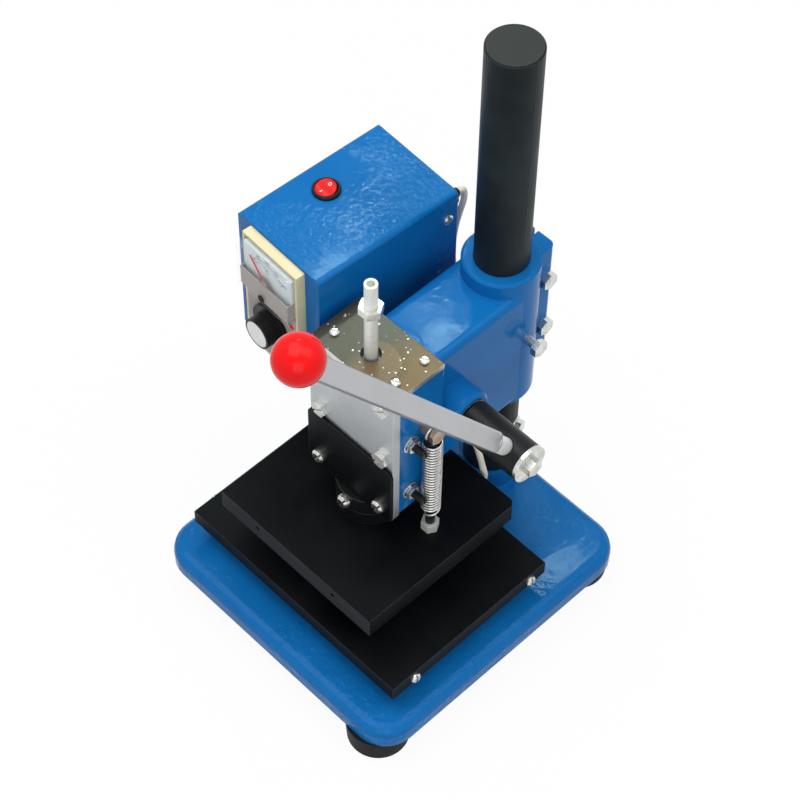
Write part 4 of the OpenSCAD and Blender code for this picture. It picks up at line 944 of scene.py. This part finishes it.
sky = bpy.data.worlds.new("studio")
sky.use_nodes = True
scene.world = sky
background = sky.node_tree.nodes["Background"]
background.inputs["Color"].default_value = (1, 1, 1, 1)
strength = SKY_LIGHT + SKY_SEEN * seen(sky.node_tree)
fill(sky.node_tree, background.inputs["Strength"], strength)

paper = bpy.data.materials.new("white_paper")
paper.use_nodes = True
tree = paper.node_tree
matt = tree.nodes["Principled BSDF"]
matt.inputs["Base Color"].default_value = PAPER_GREY
matt.inputs["Roughness"].default_value = PAPER_ROUGHNESS
glow = tree.nodes.new("ShaderNodeEmission")
glow.inputs["Strength"].default_value = PAPER_GLOW
blend_in = tree.nodes.new("ShaderNodeMixShader")
fill(tree, blend_in.inputs[0], GLOW_SHARE * seen(tree))
tree.links.new(matt.outputs[0], blend_in.inputs[1])
tree.links.new(glow.outputs[0], blend_in.inputs[2])
tree.links.new(blend_in.outputs[0], tree.nodes["Material Output"].inputs["Surface"])
sheet = bpy.data.meshes.new("floor")
floor_edge = oblong((-FLOOR_HALF, FLOOR_HALF), (-FLOOR_HALF, FLOOR_HALF))
sheet.from_pydata([(x, y, FLOOR_Z) for x, y in floor_edge], [], [(0, 1, 2, 3)])
sheet.materials.append(paper)
floor = bpy.data.objects.new("floor", sheet)
bpy.context.collection.objects.link(floor)
print("sky and floor, metres across:", 2 * FLOOR_HALF)

# %% [markdown]
# ## Soft lamps
# Three large soft lamps shape the machine, from above, from behind and from the viewer's side.
# Three small ones behind the machine give little light: they are there to be mirrored in the
# gloss paint of the base, the arm and the box, as windows would be, so they have the colour of a
# sky.

# %% Soft lamps
MIDDLE = (0, 0, 0.15)
SKY_TINT = (0.6, 0.96, 1.0)


def softbox(name, where, size, power, target=None, tint=(1, 1, 1)):
    """A rectangular lamp. Without a target it faces the floor."""
    lamp = bpy.data.lights.new(name, "AREA")
    lamp.shape = "RECTANGLE"
    lamp.size, lamp.size_y = size
    lamp.energy = power
    lamp.color = tint
    box = bpy.data.objects.new(name, lamp)
    box.location = where
    if target:
        way = Vector(target) - Vector(where)
        box.rotation_euler = way.to_track_quat("-Z", "Y").to_euler()
    bpy.context.collection.objects.link(box)
    return power


lamps = [softbox("key", (-0.35, -0.25, 1.8), (1.5, 1.2), 17, MIDDLE),
         softbox("rim", (0.7, 0.5, 1.6), (1.0, 1.0), 7, MIDDLE),
         softbox("fill", (1.2, -1.2, 0.9), (1.2, 1.2), 8.5, MIDDLE),
         softbox("window", (-0.53, 0.85, 1.526), (0.09, 0.09), 0.9, tint=SKY_TINT),
         softbox("patch", (-0.685, 0.79, 1.526), (0.06, 0.05), 0.45, tint=SKY_TINT),
         softbox("strip", (-0.815, 0.79, 1.526), (0.08, 0.24), 2.1, tint=SKY_TINT)]
print("lamps, watts:", lamps)
